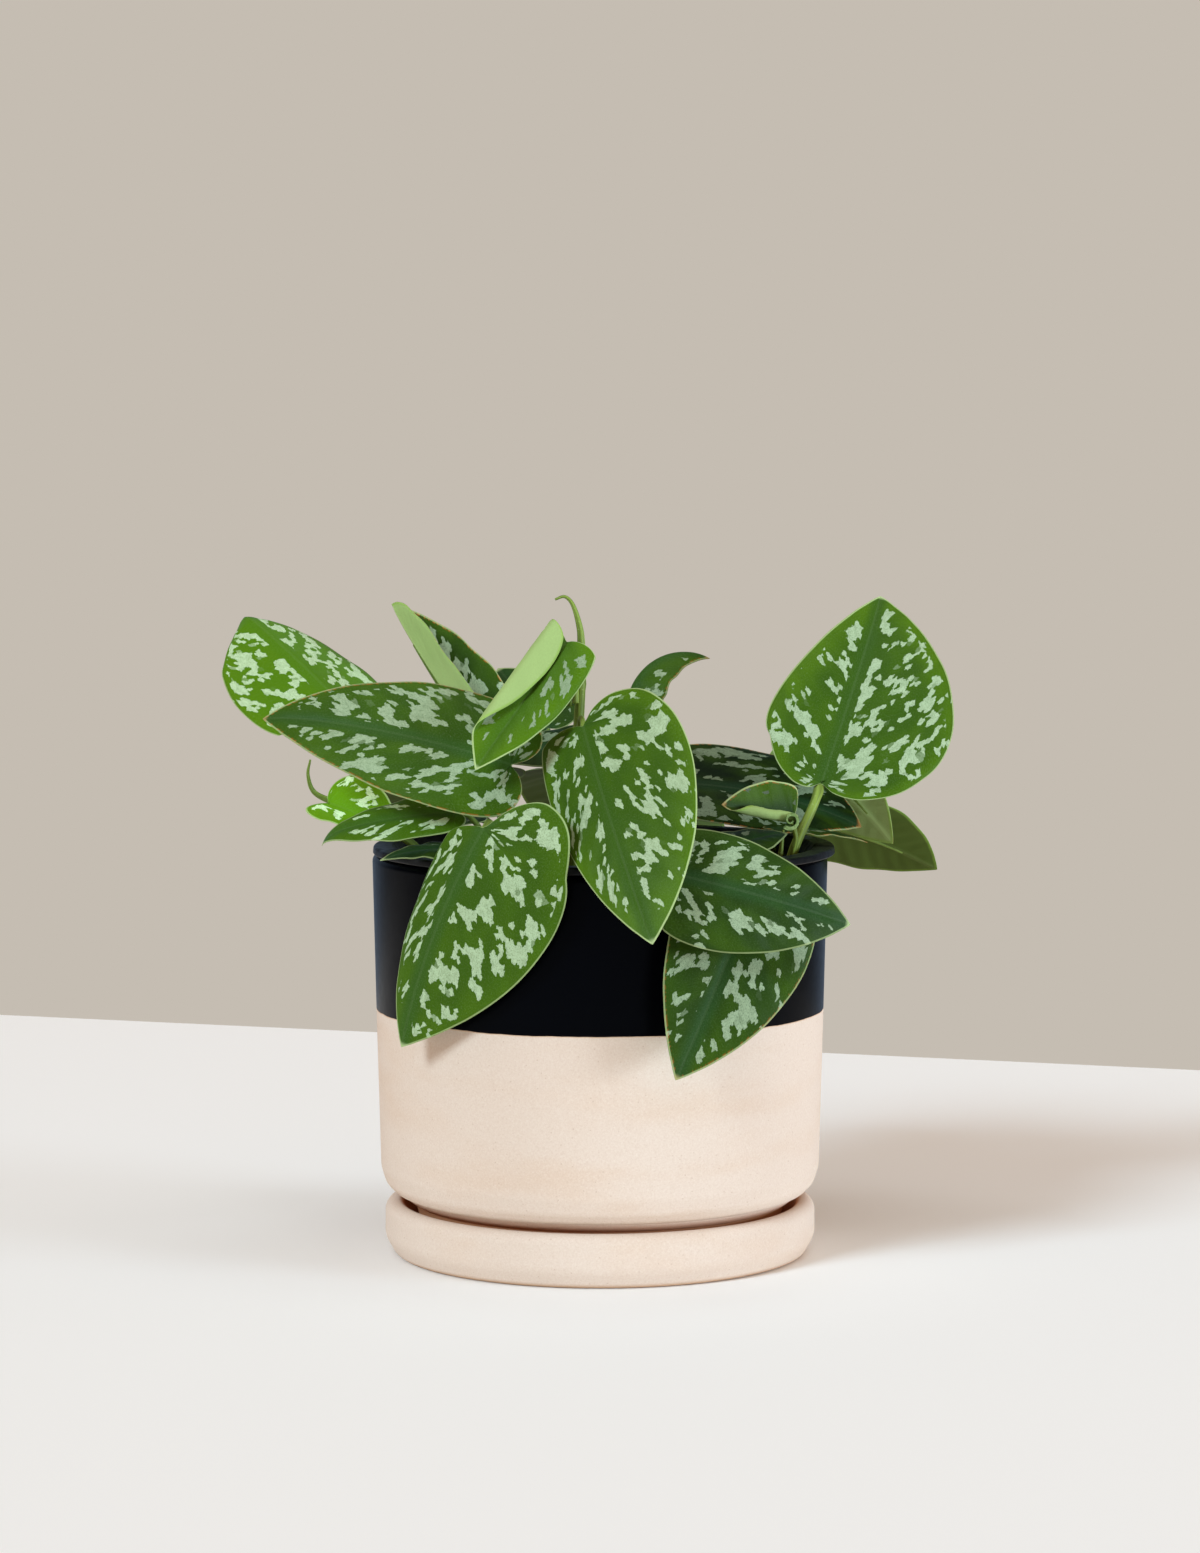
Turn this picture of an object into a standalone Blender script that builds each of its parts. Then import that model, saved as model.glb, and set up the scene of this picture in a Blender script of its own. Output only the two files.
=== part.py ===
"""Satin pothos in a two-tone clay pot on its saucer. Metres, +Z up, z = 0 under the saucer."""

import bmesh
import bpy
import numpy as np
from mathutils import Vector

MM = 0.001
SEAT = 0.3  # gap left between two pieces that touch
SEGMENTS = 48

# Pot and saucer
POT_RADIUS = 70.0
POT_TOP = 123.7
POT_FOOT = 5.3
DRAIN_RADIUS = 7.0
GLAZE_LINE = 76.1
POT_PROFILE = (
    (DRAIN_RADIUS, 9.0),
    (47.5, 9.0),
    (49.0, POT_FOOT),
    (54.5, POT_FOOT),
    (57.6, 17.4),
    (59.6, 18.3),
    (63.6, 19.5),
    (66.4, 22.4),
    (67.8, 27.0),
    (69.1, GLAZE_LINE),
    (POT_RADIUS, 120.5),
    (69.2, 123.0),
    (67.4, POT_TOP),
    (65.3, 122.8),
    (64.6, 119.0),
    (62.8, 34.0),
    (60.2, 24.0),
    (54.5, 17.6),
    (46.0, 15.5),
    (DRAIN_RADIUS, 15.5),
)
SAUCER_PROFILE = (
    (0.0, 0.0),
    (61.8, 0.0),
    (64.4, 1.4),
    (66.0, 5.0),
    (66.4, 9.5),
    (66.0, 13.4),
    (64.8, 15.6),
    (63.2, 16.2),
    (61.6, 15.8),
    (60.5, 14.6),
    (59.0, 9.0),
    (57.0, 6.0),
    (54.9, 5.0),
    (0.0, 5.0),
)

# Black nursery pot that hangs by its collar on the pot's rim, and the soil in it
LINER_FLOOR = 24.0
COLLAR_RADIUS = 71.2
COLLAR_TOP = 126.3
OFF_CENTRE = 1.2  # the nursery pot stands this far to the right in the clay pot
LINER_PROFILE = (
    (0.0, LINER_FLOOR),
    (48.0, LINER_FLOOR),
    (63.2, 122.4),
    (65.0, POT_TOP + SEAT),
    (COLLAR_RADIUS, POT_TOP + SEAT),
    (COLLAR_RADIUS, 125.6),
    (70.4, COLLAR_TOP),
    (65.6, COLLAR_TOP),
    (62.4, 124.4),
    (47.1, 25.2),
    (0.0, 25.2),
)
LINER_DRAINS = ((30.0, 6, 4.0), (0.0, 1, 4.0))
SOIL_TOP = 112.0
SOIL_FLOOR = 25.5
SOIL_PROFILE = (
    (0.0, SOIL_FLOOR),
    (46.8, SOIL_FLOOR),
    (60.1, SOIL_TOP),
    (0.0, SOIL_TOP),
)
HOLE_FLOOR = 104.5
STEM_FOOT = HOLE_FLOOR + SEAT

# Leaf form shared by all blades: half of the outline for a blade one wide and one long
BLADE = 0.8
VEIN_SWEEP = 0.24
HALF_OUTLINE = (
    (0.0, 0.0),
    (0.17, -0.062),
    (0.42, -0.092),
    (0.72, -0.062),
    (0.93, 0.045),
    (1.0, 0.20),
    (0.955, 0.38),
    (0.81, 0.56),
    (0.59, 0.725),
    (0.34, 0.86),
    (0.145, 0.945),
    (0.045, 0.985),
    (0.0, 1.0),
)
SHAPE = dict(
    bend=0,
    hook=0,
    sway=0,
    twist=0,
    fold=(0, 0),
    curl=(0, 0),
    power=(1.3, 1.3),
    roll=(0, 0),
    roll_at=(0.5, 0.5),
    roll_width=0.35,
    lobe=(1, 1),
    belly=(0, 0),
    shear=(0, 0),
    rows=10,
    columns=3,
    stalk=(1.1, 0.8),
    rib=0.72,
)

# Each leaf: where its blade starts and ends, the way its face looks, the two half widths, the
# path of its petiole from the blade down, its hole in the soil, and how the blade bends
LEAVES = {
    "leaf_front_centre": dict(
        base=(-5, -47, 166),
        tip=(15, -98, 107),
        face=(-0.28, -0.85, 0.45),
        width=(29, 17),
        petiole=((-5.5, -41, 168), (-6, -35.5, 166), (-6.8, -31.8, 160), (-7.2, -30.9, 153)),
        bend=25,
        fold=(5, 0),
        curl=(-10, -30),
        lobe=(1.3, 0.3),
        belly=(0.15, 0.2),
        shear=(0.05, 0),
    ),
    "leaf_front_left": dict(
        base=(-34, -72, 138),
        tip=(-59, -54, 71),
        face=(-0.2, -0.95, 0.2),
        width=(33, 13),
        petiole=((-32, -66, 139), (-29, -55, 132), (-27, -47, 120)),
        hole=(-26, -44),
        bend=15,
        fold=(0, -10),
        curl=(-8, -50),
        lobe=(2.4, 0.2),
        sway=-13,
        belly=(0.1, -0.25),
        shear=(0, 0.12),
    ),
    "leaf_front_right": dict(
        base=(21.5, -81, 125.5),
        tip=(73.5, -66, 109),
        face=(0.2, -0.93, 0.3),
        width=(16, 19.5),
        petiole=((19, -78, 130), (16, -70, 133.5), (13, -57, 128)),
        hole=(12, -46),
        bend=25,
        fold=(5, 5),
        curl=(-20, -25),
        lobe=(0.8, 0.6),
    ),
    "leaf_front_right_low": dict(
        base=(45.5, -65, 119.5),
        tip=(22, -80, 65),
        face=(0.3, -0.9, 0.25),
        width=(23, 20),
        petiole=((45, -66, 125), (42, -62, 131), (38, -52, 129)),
        hole=(33, -42),
        bend=15,
        fold=(10, 5),
        curl=(-15, -15),
        lobe=(1.8, 1),
    ),
    "leaf_left_big": dict(
        base=(-26.5, -52, 155),
        tip=(-101, -36, 167.5),
        face=(-0.1, -0.8, 0.6),
        width=(21, 21),
        petiole=((-25, -46, 164), (-19, -38, 174), (-12, -31, 178.5), (-9.2, -29.3, 176), (-9.1, -28.6, 171)),
        bend=30,
        hook=10,
        fold=(6, 6),
        curl=(-20, -20),
        lobe=(0.8, 1),
    ),
    "leaf_left_rolled": dict(
        base=(-10, -36, 190.5),
        tip=(-36.5, -66, 154.5),
        face=(0.1, -0.85, 0.5),
        width=(12, 17),
        petiole=((-8.7, -34.3, 185), (-7.5, -32.3, 178), (-7.4, -31.9, 172)),
        bend=5,
        fold=(25, 5),
        curl=(-60, -5),
        roll=(0, 190),
        roll_at=(0.5, 0.36),
        roll_width=0.25,
        lobe=(0.3, 0.6),
        belly=(0.2, 0),
        rows=13,
        columns=6,
    ),
    "leaf_back_left": dict(
        base=(-81.5, -6, 172.5),
        tip=(-113, 41, 193),
        face=(-0.26, -0.5, 0.82),
        width=(24.5, 28),
        petiole=((-76, -9, 169), (-63, -7, 161), (-48, 2, 140)),
        hole=(-40, 4),
        bend=10,
        hook=60,
        fold=(-30, -38),
        curl=(-10, -10),
        belly=(0.3, 0),
        shear=(0.16, 0),
        rib=0.6,
        stalk=(1.1, 0.8),
        lobe=(0, 0),
    ),
    "leaf_back_folded": dict(
        base=(-37.5, 20, 157),
        tip=(-65.5, 32, 199),
        face=(0.84, -0.41, 0.37),
        width=(15, 17),
        petiole=((-34, 18, 150), (-31, 15, 132)),
        hole=(-30, 14),
        bend=-10,
        fold=(53, 53),
        belly=(0.95, 0.2),
    ),
    "leaf_right_big": dict(
        base=(68, -4, 145.5),
        tip=(89, 44, 201),
        face=(0.25, -0.8, 0.6),
        width=(23, 34),
        petiole=((65.5, -7, 139), (59.5, -10, 126)),
        hole=(56, -9),
        bend=25,
        hook=5,
        fold=(8, 8),
        curl=(-20, -15),
        lobe=(1, 1),
        belly=(-0.75, -0.22),
        shear=(0.13, 0.2),
        stalk=(1.6, 1.4),
    ),
    "leaf_right_dark": dict(
        base=(26, 12, 144),
        tip=(82, 22, 129.5),
        face=(-0.15, -0.6, 0.8),
        width=(22, 15),
        petiole=((24, 12, 138), (22, 12, 126)),
        hole=(22, 11),
        bend=30,
        curl=(-10, -25),
        belly=(0.7, 0.2),
    ),
    "leaf_right_back": dict(
        base=(63, 34, 155.5),
        tip=(92.5, 30, 123.5),
        face=(0.5, 0.8, -0.1),
        width=(16, 14),
        petiole=((60, 36, 150), (53, 31, 138)),
        hole=(46, 24),
        bend=20,
        curl=(-10, -25),
    ),
    "leaf_right_under": dict(
        base=(68, 50, 129),
        tip=(109, 62, 112),
        face=(0.3, 0.75, 0.6),
        width=(18, 18),
        petiole=((63, 43, 133), (57, 30, 130)),
        hole=(52, 18),
        bend=20,
        fold=(5, 5),
        curl=(-10, -10),
        belly=(0.2, 0.2),
    ),
    "leaf_back_right": dict(
        base=(8, 36, 164),
        tip=(35, 48, 181),
        face=(-0.5, -0.1, 0.86),
        width=(12, 12),
        petiole=((3, 35, 158), (3, 32, 140)),
        hole=(4, 30),
        bend=115,
        fold=(-45, -45),
        rib=0.12,
    ),
    "leaf_right_new": dict(
        base=(58.5, -22, 136),
        tip=(36.5, -34, 141.5),
        face=(0.1, -0.8, 0.6),
        width=(9, 11),
        petiole=((59.5, -21, 130), (58, -20, 124), (55, -20, 114)),
        hole=(54.5, -20),
        bend=-10,
        fold=(20, 20),
        curl=(30, 30),
        roll=(290, 0),
        roll_at=(0.15, 0.5),
        roll_width=0.85,
        lobe=(0, 0.5),
        stalk=(0.95, 0.7),
    ),
    "leaf_left_small": dict(
        base=(-83, -12, 140),
        tip=(-60.5, -27, 131),
        face=(-0.1, -0.6, 0.8),
        width=(12, 11),
        petiole=((-81.5, -12.2, 138.8), (-79, -12.1, 137.7), (-76.6, -12.05, 136.7)),
        bend=20,
        fold=(20, 20),
        stalk=(0.9, 0.7),
    ),
    "leaf_left_low": dict(
        base=(-43, -48, 140.5),
        tip=(-84, -28, 128.5),
        face=(-0.1, -0.6, 0.8),
        width=(10, 9),
        petiole=((-39, -44, 139), (-34, -36, 130)),
        hole=(-32, -30),
        bend=20,
        hook=40,
        fold=(5, 5),
        curl=(-20, -20),
    ),
    "leaf_left_shade": dict(
        base=(-36.5, -18, 136.5),
        tip=(-64, -16, 130.5),
        face=(-0.1, -0.1, 1),
        width=(11, 11),
        petiole=((-33, -16, 134), (-30, -16, 126)),
        hole=(-29, -16),
        bend=20,
        fold=(5, 5),
        curl=(-20, -20),
    ),
    "leaf_rim_small": dict(
        base=(-43, -53, 130),
        tip=(-65, -57, 127),
        face=(-0.1, -0.3, 0.95),
        width=(6, 6),
        petiole=((-40.5, -49.5, 129.8), (-37.5, -43, 124)),
        hole=(-36.5, -39.5),
        bend=25,
        fold=(5, 5),
        curl=(-20, -20),
        stalk=(0.9, 0.7),
    ),
    "leaf_right_thin": dict(
        base=(54, -2, 131),
        tip=(83, 8, 126),
        face=(-0.1, -0.1, 1),
        width=(7, 7),
        petiole=((50, -2, 128), (46, -1, 122)),
        hole=(44, 0),
        bend=20,
        fold=(5, 5),
        curl=(-20, -20),
        stalk=(0.9, 0.7),
    ),
    "leaf_right_inner": dict(
        base=(32, -41, 126.5),
        tip=(57, -20, 131.5),
        face=(-0.1, -0.5, 0.8),
        width=(9, 9),
        petiole=((29.5, -40, 124), (28.5, -35, 118)),
        hole=(28, -31),
        bend=20,
        fold=(5, 5),
        curl=(-20, -20),
        stalk=(0.9, 0.7),
    ),
    "leaf_inner_left": dict(
        base=(0, -5, 159),
        tip=(-30, -20, 153),
        face=(0, -0.6, 0.8),
        width=(12, 9),
        petiole=((2, -4, 154), (3, -6, 136)),
        hole=(2, -8),
        bend=20,
        fold=(5, 5),
        curl=(-20, -20),
    ),
    "leaf_middle_right": dict(
        base=(14, -7, 138),
        tip=(21, -35, 128),
        face=(0.1, -0.3, 0.95),
        width=(11, 12),
        petiole=((13.5, -3, 134), (13, 0, 124)),
        hole=(13, 1),
        bend=25,
        fold=(6, 6),
        curl=(-20, -20),
        rows=8,
    ),
    "leaf_middle_back": dict(
        base=(14, 20, 141),
        tip=(-10, 6, 136),
        face=(-0.1, -0.2, 1),
        width=(11, 10),
        petiole=((15.5, 22, 137), (16, 25, 126)),
        hole=(16, 26),
        bend=25,
        fold=(6, 6),
        curl=(-20, -20),
        rows=8,
    ),
    "leaf_back_centre": dict(
        base=(-16.5, 24, 160.5),
        tip=(-32.5, 45, 178),
        face=(-0.1, -0.7, 0.6),
        width=(13, 13),
        petiole=((-14.5, 21, 155), (-9, 18, 138)),
        hole=(-8, 16),
        bend=20,
        fold=(5, 5),
        curl=(-20, -20),
    ),
    "leaf_rear_left": dict(
        base=(-38, 50, 146),
        tip=(-74, 88, 122),
        face=(-0.3, 0.55, 0.78),
        width=(20, 21),
        petiole=((-35, 46, 142), (-28, 42, 130)),
        hole=(-26, 40),
        bend=35,
        fold=(6, 6),
        curl=(-18, -18),
    ),
    "leaf_rear_centre": dict(
        base=(-4, 62, 144),
        tip=(-12, 112, 116),
        face=(-0.05, 0.5, 0.86),
        width=(21, 20),
        petiole=((-3, 57, 142), (-1, 50, 130)),
        hole=(0, 46),
        bend=40,
        fold=(6, 6),
        curl=(-18, -18),
    ),
    "leaf_rear_right": dict(
        base=(36, 52, 144),
        tip=(66, 92, 118),
        face=(0.3, 0.5, 0.8),
        width=(21, 20),
        petiole=((32, 48, 141), (27, 42, 130)),
        hole=(25, 40),
        bend=38,
        fold=(6, 6),
        curl=(-18, -18),
    ),
    "leaf_rear_low": dict(
        base=(18, 76, 130),
        tip=(30, 86, 72),
        face=(0.2, 0.95, 0.2),
        width=(21, 22),
        petiole=((16, 70, 133), (14, 60, 131), (13, 52, 118)),
        hole=(13, 51),
        bend=12,
        fold=(6, 6),
        curl=(-20, -20),
    ),
}

# Vine stems and rolled new leaves: hole in the soil, path, and radius at the start and the end
TUBES = {
    "stem_centre": (
        (-8, -24),
        ((-7.9, -24.6, 122), (-7.2, -27.4, 150), (-6, -28.9, 174), (-5.6, -29.3, 187)),
        (1.8, 1.5),
    ),
    "spear_centre": (
        None,
        ((-5.6, -29.3, 187.4), (-6, -29.2, 194), (-8, -29.1, 201), (-10.5, -29, 203.8), (-13.5, -29, 203)),
        (1.3, 0.35),
    ),
    "stem_left": (
        (-50, -10),
        ((-51, -10.2, 118), (-57, -11, 127), (-68, -12, 133.6), (-76, -12, 136.5)),
        (1.4, 1.2),
    ),
    "spear_left": (
        None,
        ((-75, -10.2, 137.9), (-80.5, -8.3, 139.6), (-87.3, -9.3, 143), (-89.2, -11.5, 148.5), (-88.4, -13, 153.4)),
        (1.4, 0.3),
    ),
    "sheath_right": (
        (52.5, -14),
        ((54.6, -14, 121), (56, -14, 132)),
        (1.5, 0.35),
    ),
}
TUBE_SIDES = 6
TUBE_STEPS = 6
RIB_STEPS = 3
RIB_END = 0.32  # radius of the midrib where it runs out into the blade
RIB_LIFT = 0.1  # how far the midrib's top sinks into the blade
HOLE_ROOM = 0.6  # room round a stem in its hole
WELD = 0.0015  # points nearer than this are one point
BLADE_WELD = 0.02
CREASE = 40  # degrees: a sharper edge than this is shaded as an edge

LOOKS = {
    "clay": ((0.80, 0.66, 0.56), 0.85, 0.0),
    "black_plastic": ((0.012, 0.012, 0.013), 0.55, 0.0),
    "soil": ((0.035, 0.022, 0.014), 0.95, 0.0),
    "leaf": ((0.035, 0.13, 0.03), 0.5, 0.0),
    "stem": ((0.16, 0.30, 0.06), 0.5, 0.0),
}


def unit(vector):
    return np.asarray(vector, float) / np.linalg.norm(vector)


def through(points, count):
    """A smooth curve through the points, as evenly spaced points."""
    points = np.asarray(points, float)
    ends = np.vstack([2 * points[0] - points[1], points, 2 * points[-1] - points[-2]])
    fine = []
    for i in range(1, len(ends) - 2):
        a, b, c, d = ends[i - 1 : i + 3]
        for t in np.linspace(0, 1, 16, endpoint=False):
            bend = (2 * a - 5 * b + 4 * c - d) * t**2 + (3 * b - a - 3 * c + d) * t**3
            fine.append(0.5 * (2 * b + (c - a) * t + bend))
    fine = np.array(fine + [points[-1]])
    run = np.append(0, np.cumsum(np.linalg.norm(np.diff(fine, axis=0), axis=1)))
    places = np.linspace(0, run[-1], count)
    return np.column_stack([np.interp(places, run, fine[:, k]) for k in range(fine.shape[1])])


def turned(first, second, angle):
    """Two square directions, turned about the third."""
    c, s = np.cos(angle)[:, None], np.sin(angle)[:, None]
    return first * c + second * s, second * c - first * s


def midrib(leaf, steps=40):
    """Points along the midrib, with the way it runs, the way the face looks and the way to the right."""
    base, tip = np.array(leaf["base"], float), np.array(leaf["tip"], float)
    along = unit(tip - base)
    face = unit(leaf["face"] - along * np.dot(leaf["face"], along))
    u = np.linspace(0, 1, steps + 1)
    bend, hook, sway, twist = (np.radians(leaf[key]) for key in ("bend", "hook", "sway", "twist"))
    dip = bend * (u - 0.5) + hook * np.clip((u - 0.75) / 0.25, 0, 1) ** 1.5
    swing = sway * (u - 0.5)
    ways = np.column_stack([np.sin(swing) * np.cos(dip), np.cos(swing) * np.cos(dip), -np.sin(dip)])
    points = np.vstack([np.zeros(3), np.cumsum(ways[1:] + ways[:-1], axis=0) / 2])
    level = Vector(points[-1]).rotation_difference(Vector((0, 1, 0))).to_matrix()
    level = np.array(level)
    length = np.linalg.norm(tip - base)
    points = points @ level.T * length / np.linalg.norm(points[-1])
    ways = ways @ level.T
    up = np.array([0, 0, 1]) - ways * ways[:, 2:]
    up /= np.linalg.norm(up, axis=1)[:, None]
    up, right = turned(up, np.cross(ways, up), twist * (u - 0.5))
    to_part = np.vstack([np.cross(along, face), along, face])
    return base + points @ to_part, ways @ to_part, up @ to_part, right @ to_part, length


def half_blade(leaf, side):
    """Grid of points of one half of the blade, from the midrib to the margin, row by row to the tip."""
    points, ways, up, right, length = midrib(leaf)
    k = 0 if side < 0 else 1
    rows, columns, width = leaf["rows"], leaf["columns"], leaf["width"][k]
    fold, curl, roll = (np.radians(leaf[key][k]) for key in ("fold", "curl", "roll"))
    edge = through(HALF_OUTLINE, rows + 1)
    root = np.maximum(0, edge[:, 1] - VEIN_SWEEP * edge[:, 0]) * length
    root[-1] = length
    rise = np.clip(edge[:, 1], 0, 1)
    edge[:, 1] += leaf["belly"][k] * rise * (1 - rise)
    edge[:, 1] = np.where(edge[:, 1] < 0, edge[:, 1] * leaf["lobe"][k], edge[:, 1])
    edge[:, 1] += leaf["shear"][k] * edge[:, 0]
    edge *= (width, length)
    f = np.linspace(0, 1, columns + 1)
    grid = np.zeros((rows + 1, columns + 1, 3))
    for i, (out, y) in enumerate(edge):
        bow = root[i] + 0.38 * (y - root[i])
        across = 1.1 * (1 - f) * f * out + f * f * out
        forward = (1 - f) ** 2 * root[i] + 2 * (1 - f) * f * bow + f * f * y
        steps = np.linspace(0, max(out, 1e-6), 60)
        started = np.clip((steps / width - leaf["roll_at"][k]) / leaf["roll_width"], 0, 1)
        tilt = fold + curl * (steps / width) ** leaf["power"][k] + roll * started
        run = np.append(0, np.cumsum(np.cos(tilt)[1:] + np.cos(tilt)[:-1])) / 2 * steps[1]
        lift = np.append(0, np.cumsum(np.sin(tilt)[1:] + np.sin(tilt)[:-1])) / 2 * steps[1]
        run, lift = np.interp(across, steps, run), np.interp(across, steps, lift)
        place = np.clip(forward / length, 0, 1) * (len(points) - 1)

        def at(values):
            return np.column_stack([np.interp(place, range(len(points)), values[:, n]) for n in range(3)])

        grid[i] = at(points) + side * run[:, None] * at(right) + lift[:, None] * at(up)
        grid[i] += np.minimum(forward, 0)[:, None] * ways[0]
    return grid


def lathe(profile, segments=SEGMENTS):
    """Points and faces of a closed ring or solid turned from a profile of (radius, z)."""
    points, faces, rings = [], [], []
    for radius, z in profile:
        if radius == 0:
            rings.append([len(points)] * segments)
            points.append((0, 0, z))
            continue
        rings.append(list(range(len(points), len(points) + segments)))
        for angle in np.arange(segments) * 2 * np.pi / segments:
            points.append((radius * np.cos(angle), radius * np.sin(angle), z))
    for first, second in zip(rings, rings[1:] + rings[:1]):
        for k in range(segments):
            corners = (first[k], first[k - segments + 1], second[k - segments + 1], second[k])
            corners = tuple(dict.fromkeys(corners))
            if len(corners) > 2:
                faces.append(corners)
    return points, faces


def node(name, points, faces, look):
    """An object from points in millimetres, with its faces turned outward."""
    mesh = bpy.data.meshes.new(name)
    mesh.from_pydata([Vector(p) * MM for p in points], [], faces)
    built = bmesh.new()
    built.from_mesh(mesh)
    bmesh.ops.remove_doubles(built, verts=built.verts, dist=WELD * MM)
    bmesh.ops.recalc_face_normals(built, faces=built.faces)
    built.to_mesh(mesh)
    built.free()
    thing = bpy.data.objects.new(name, mesh)
    bpy.context.collection.objects.link(thing)
    thing.data.materials.append(look)
    shade(thing)
    return thing


def shade(thing):
    """Shades round forms smooth and keeps their sharp edges."""
    thing.data.shade_smooth()
    thing.data.set_sharp_from_angle(angle=np.radians(CREASE))


def combine(thing, other, operation):
    """Joins the other mesh to this one, or cuts it away, and removes the other."""
    change = thing.modifiers.new("combine", "BOOLEAN")
    change.operation = operation
    change.object = other
    change.solver = "MANIFOLD"
    fix(thing)
    clean(thing)
    bpy.data.objects.remove(other)


def clean(thing):
    """Merges the points that a cut or a union leaves all but on top of each other."""
    built = bmesh.new()
    built.from_mesh(thing.data)
    bmesh.ops.remove_doubles(built, verts=built.verts, dist=WELD * MM)
    bmesh.ops.dissolve_degenerate(built, edges=built.edges, dist=WELD * MM)
    built.to_mesh(thing.data)
    built.free()
    shade(thing)


def fix(thing):
    """Turns the modifiers of an object into its mesh."""
    graph = bpy.context.evaluated_depsgraph_get()
    made = bpy.data.meshes.new_from_object(thing.evaluated_get(graph))
    thing.modifiers.clear()
    thing.data = made


def blade(name, leaf, look):
    """The blade as a thin solid."""
    points, faces = [], []
    rows, columns = leaf["rows"], leaf["columns"]
    for side in (-1, 1):
        start = len(points)
        points += list(half_blade(leaf, side).reshape(-1, 3))
        for i in range(1, rows):
            for j in range(columns):
                a = start + i * (columns + 1) + j
                b, c, d = a + 1, a + columns + 2, a + columns + 1
                pair = [(a, b, c), (a, c, d)]
                faces += pair if side > 0 else [t[::-1] for t in pair]
    mesh = bpy.data.meshes.new(name)
    mesh.from_pydata([Vector(p) * MM for p in points], [], faces)
    built = bmesh.new()
    built.from_mesh(mesh)
    bmesh.ops.remove_doubles(built, verts=built.verts, dist=BLADE_WELD * MM)
    bmesh.ops.dissolve_degenerate(built, edges=built.edges, dist=BLADE_WELD * MM)
    built.to_mesh(mesh)
    built.free()
    thing = bpy.data.objects.new(name, mesh)
    bpy.context.collection.objects.link(thing)
    thing.data.materials.append(look)
    thicken = thing.modifiers.new("thicken", "SOLIDIFY")
    thicken.thickness = BLADE * MM
    thicken.offset = 0
    fix(thing)
    return thing


def down_to_hole(path, hole):
    """The path, ending just above its hole in the soil when it has one."""
    return list(path) + ([(*hole, SOIL_TOP + 1)] if hole else [])


def leaf_node(name, given, looks):
    """One leaf: its blade, its midrib standing out below and its petiole, as one piece."""
    leaf = SHAPE | given
    thing = blade(name, leaf, looks["leaf"])
    points, ways, up, right, length = midrib(leaf)
    foot, neck = leaf["stalk"]
    reach = np.linspace(0, leaf["rib"], RIB_STEPS)
    places = (reach * (len(points) - 1)).astype(int)
    thin = np.linspace(neck, RIB_END, RIB_STEPS)
    rib = points[places] - up[places] * (thin[:, None] - RIB_LIFT)
    path = through(down_to_hole(leaf["petiole"], leaf.get("hole"))[::-1] + [rib[0]], TUBE_STEPS)
    radii = list(np.linspace(foot, neck, TUBE_STEPS)) + list(thin[1:])
    path = np.vstack([path, rib[1:]])
    if "hole" in leaf:
        path = np.vstack([(*leaf["hole"], STEM_FOOT), path])
        radii = [foot] + radii
    stalk = node(name + "_stalk", *bar(path, radii), looks["leaf"])
    combine(thing, stalk, "UNION")
    return thing


def bar(line, radii, sides=TUBE_SIDES):
    """Points and faces of a closed bar whose rings stand at the given points."""
    ways = np.gradient(np.asarray(line), axis=0)
    across = (1, 0, 0) if abs(unit(ways[0])[2]) > 0.9 else np.cross(ways[0], (0, 0, 1))
    across = unit(across)
    points, faces = [], []
    for point, way, radius in zip(line, ways, radii):
        way = unit(way)
        across = unit(across - way * np.dot(across, way))
        for angle in np.arange(sides) * 2 * np.pi / sides:
            points.append(point + radius * (np.cos(angle) * across + np.sin(angle) * np.cross(way, across)))
    for i in range(len(line) - 1):
        for k in range(sides):
            a, b = i * sides + k, i * sides + (k + 1) % sides
            faces += [(a, b, b + sides), (a, b + sides, a + sides)]
    faces.append(tuple(range(sides))[::-1])
    faces.append(tuple(range((len(line) - 1) * sides, len(line) * sides)))
    return points, faces


def cylinder(x, y, radius, bottom, top, sides):
    angles = np.arange(sides) * 2 * np.pi / sides
    ring = [(x + radius * np.cos(a), y + radius * np.sin(a)) for a in angles]
    points = [(*p, bottom) for p in ring] + [(*p, top) for p in ring]
    faces = [tuple(range(sides))[::-1], tuple(range(sides, 2 * sides))]
    for k in range(sides):
        n = (k + 1) % sides
        faces.append((k, n, n + sides, k + sides))
    return points, faces


def joined(parts):
    points, faces = [], []
    for more, corners in parts:
        faces += [tuple(i + len(points) for i in face) for face in corners]
        points += list(more)
    return points, faces


def off_centre(points, faces):
    """The same points and faces, moved with the nursery pot."""
    return [np.array(point) + (OFF_CENTRE, 0, 0) for point in points], faces


def liner(looks):
    """The black nursery pot, with drainage holes in its floor."""
    thing = node("nursery_pot", *off_centre(*lathe(LINER_PROFILE)), looks["black_plastic"])
    cuts = []
    for reach, count, radius in LINER_DRAINS:
        for angle in np.arange(count) * 2 * np.pi / count:
            place = reach * np.cos(angle), reach * np.sin(angle)
            cuts.append(cylinder(*place, radius, LINER_FLOOR - 2, LINER_FLOOR + 3, 8))
    combine(thing, node("drains", *off_centre(*joined(cuts)), looks["soil"]), "DIFFERENCE")


def soil(looks):
    """The potting mix, with a plain hole for each stem."""
    thing = node("soil", *off_centre(*lathe(SOIL_PROFILE)), looks["soil"])
    feet = [(leaf.get("hole"), leaf.get("stalk", SHAPE["stalk"])[0]) for leaf in LEAVES.values()]
    feet += [(hole, radii[0]) for hole, path, radii in TUBES.values()]
    cuts = []
    for hole, radius in feet:
        if hole:
            cuts.append(cylinder(*hole, radius + HOLE_ROOM, HOLE_FLOOR, SOIL_TOP + 5, TUBE_SIDES))
    combine(thing, node("holes", *joined(cuts), looks["soil"]), "DIFFERENCE")


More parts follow.
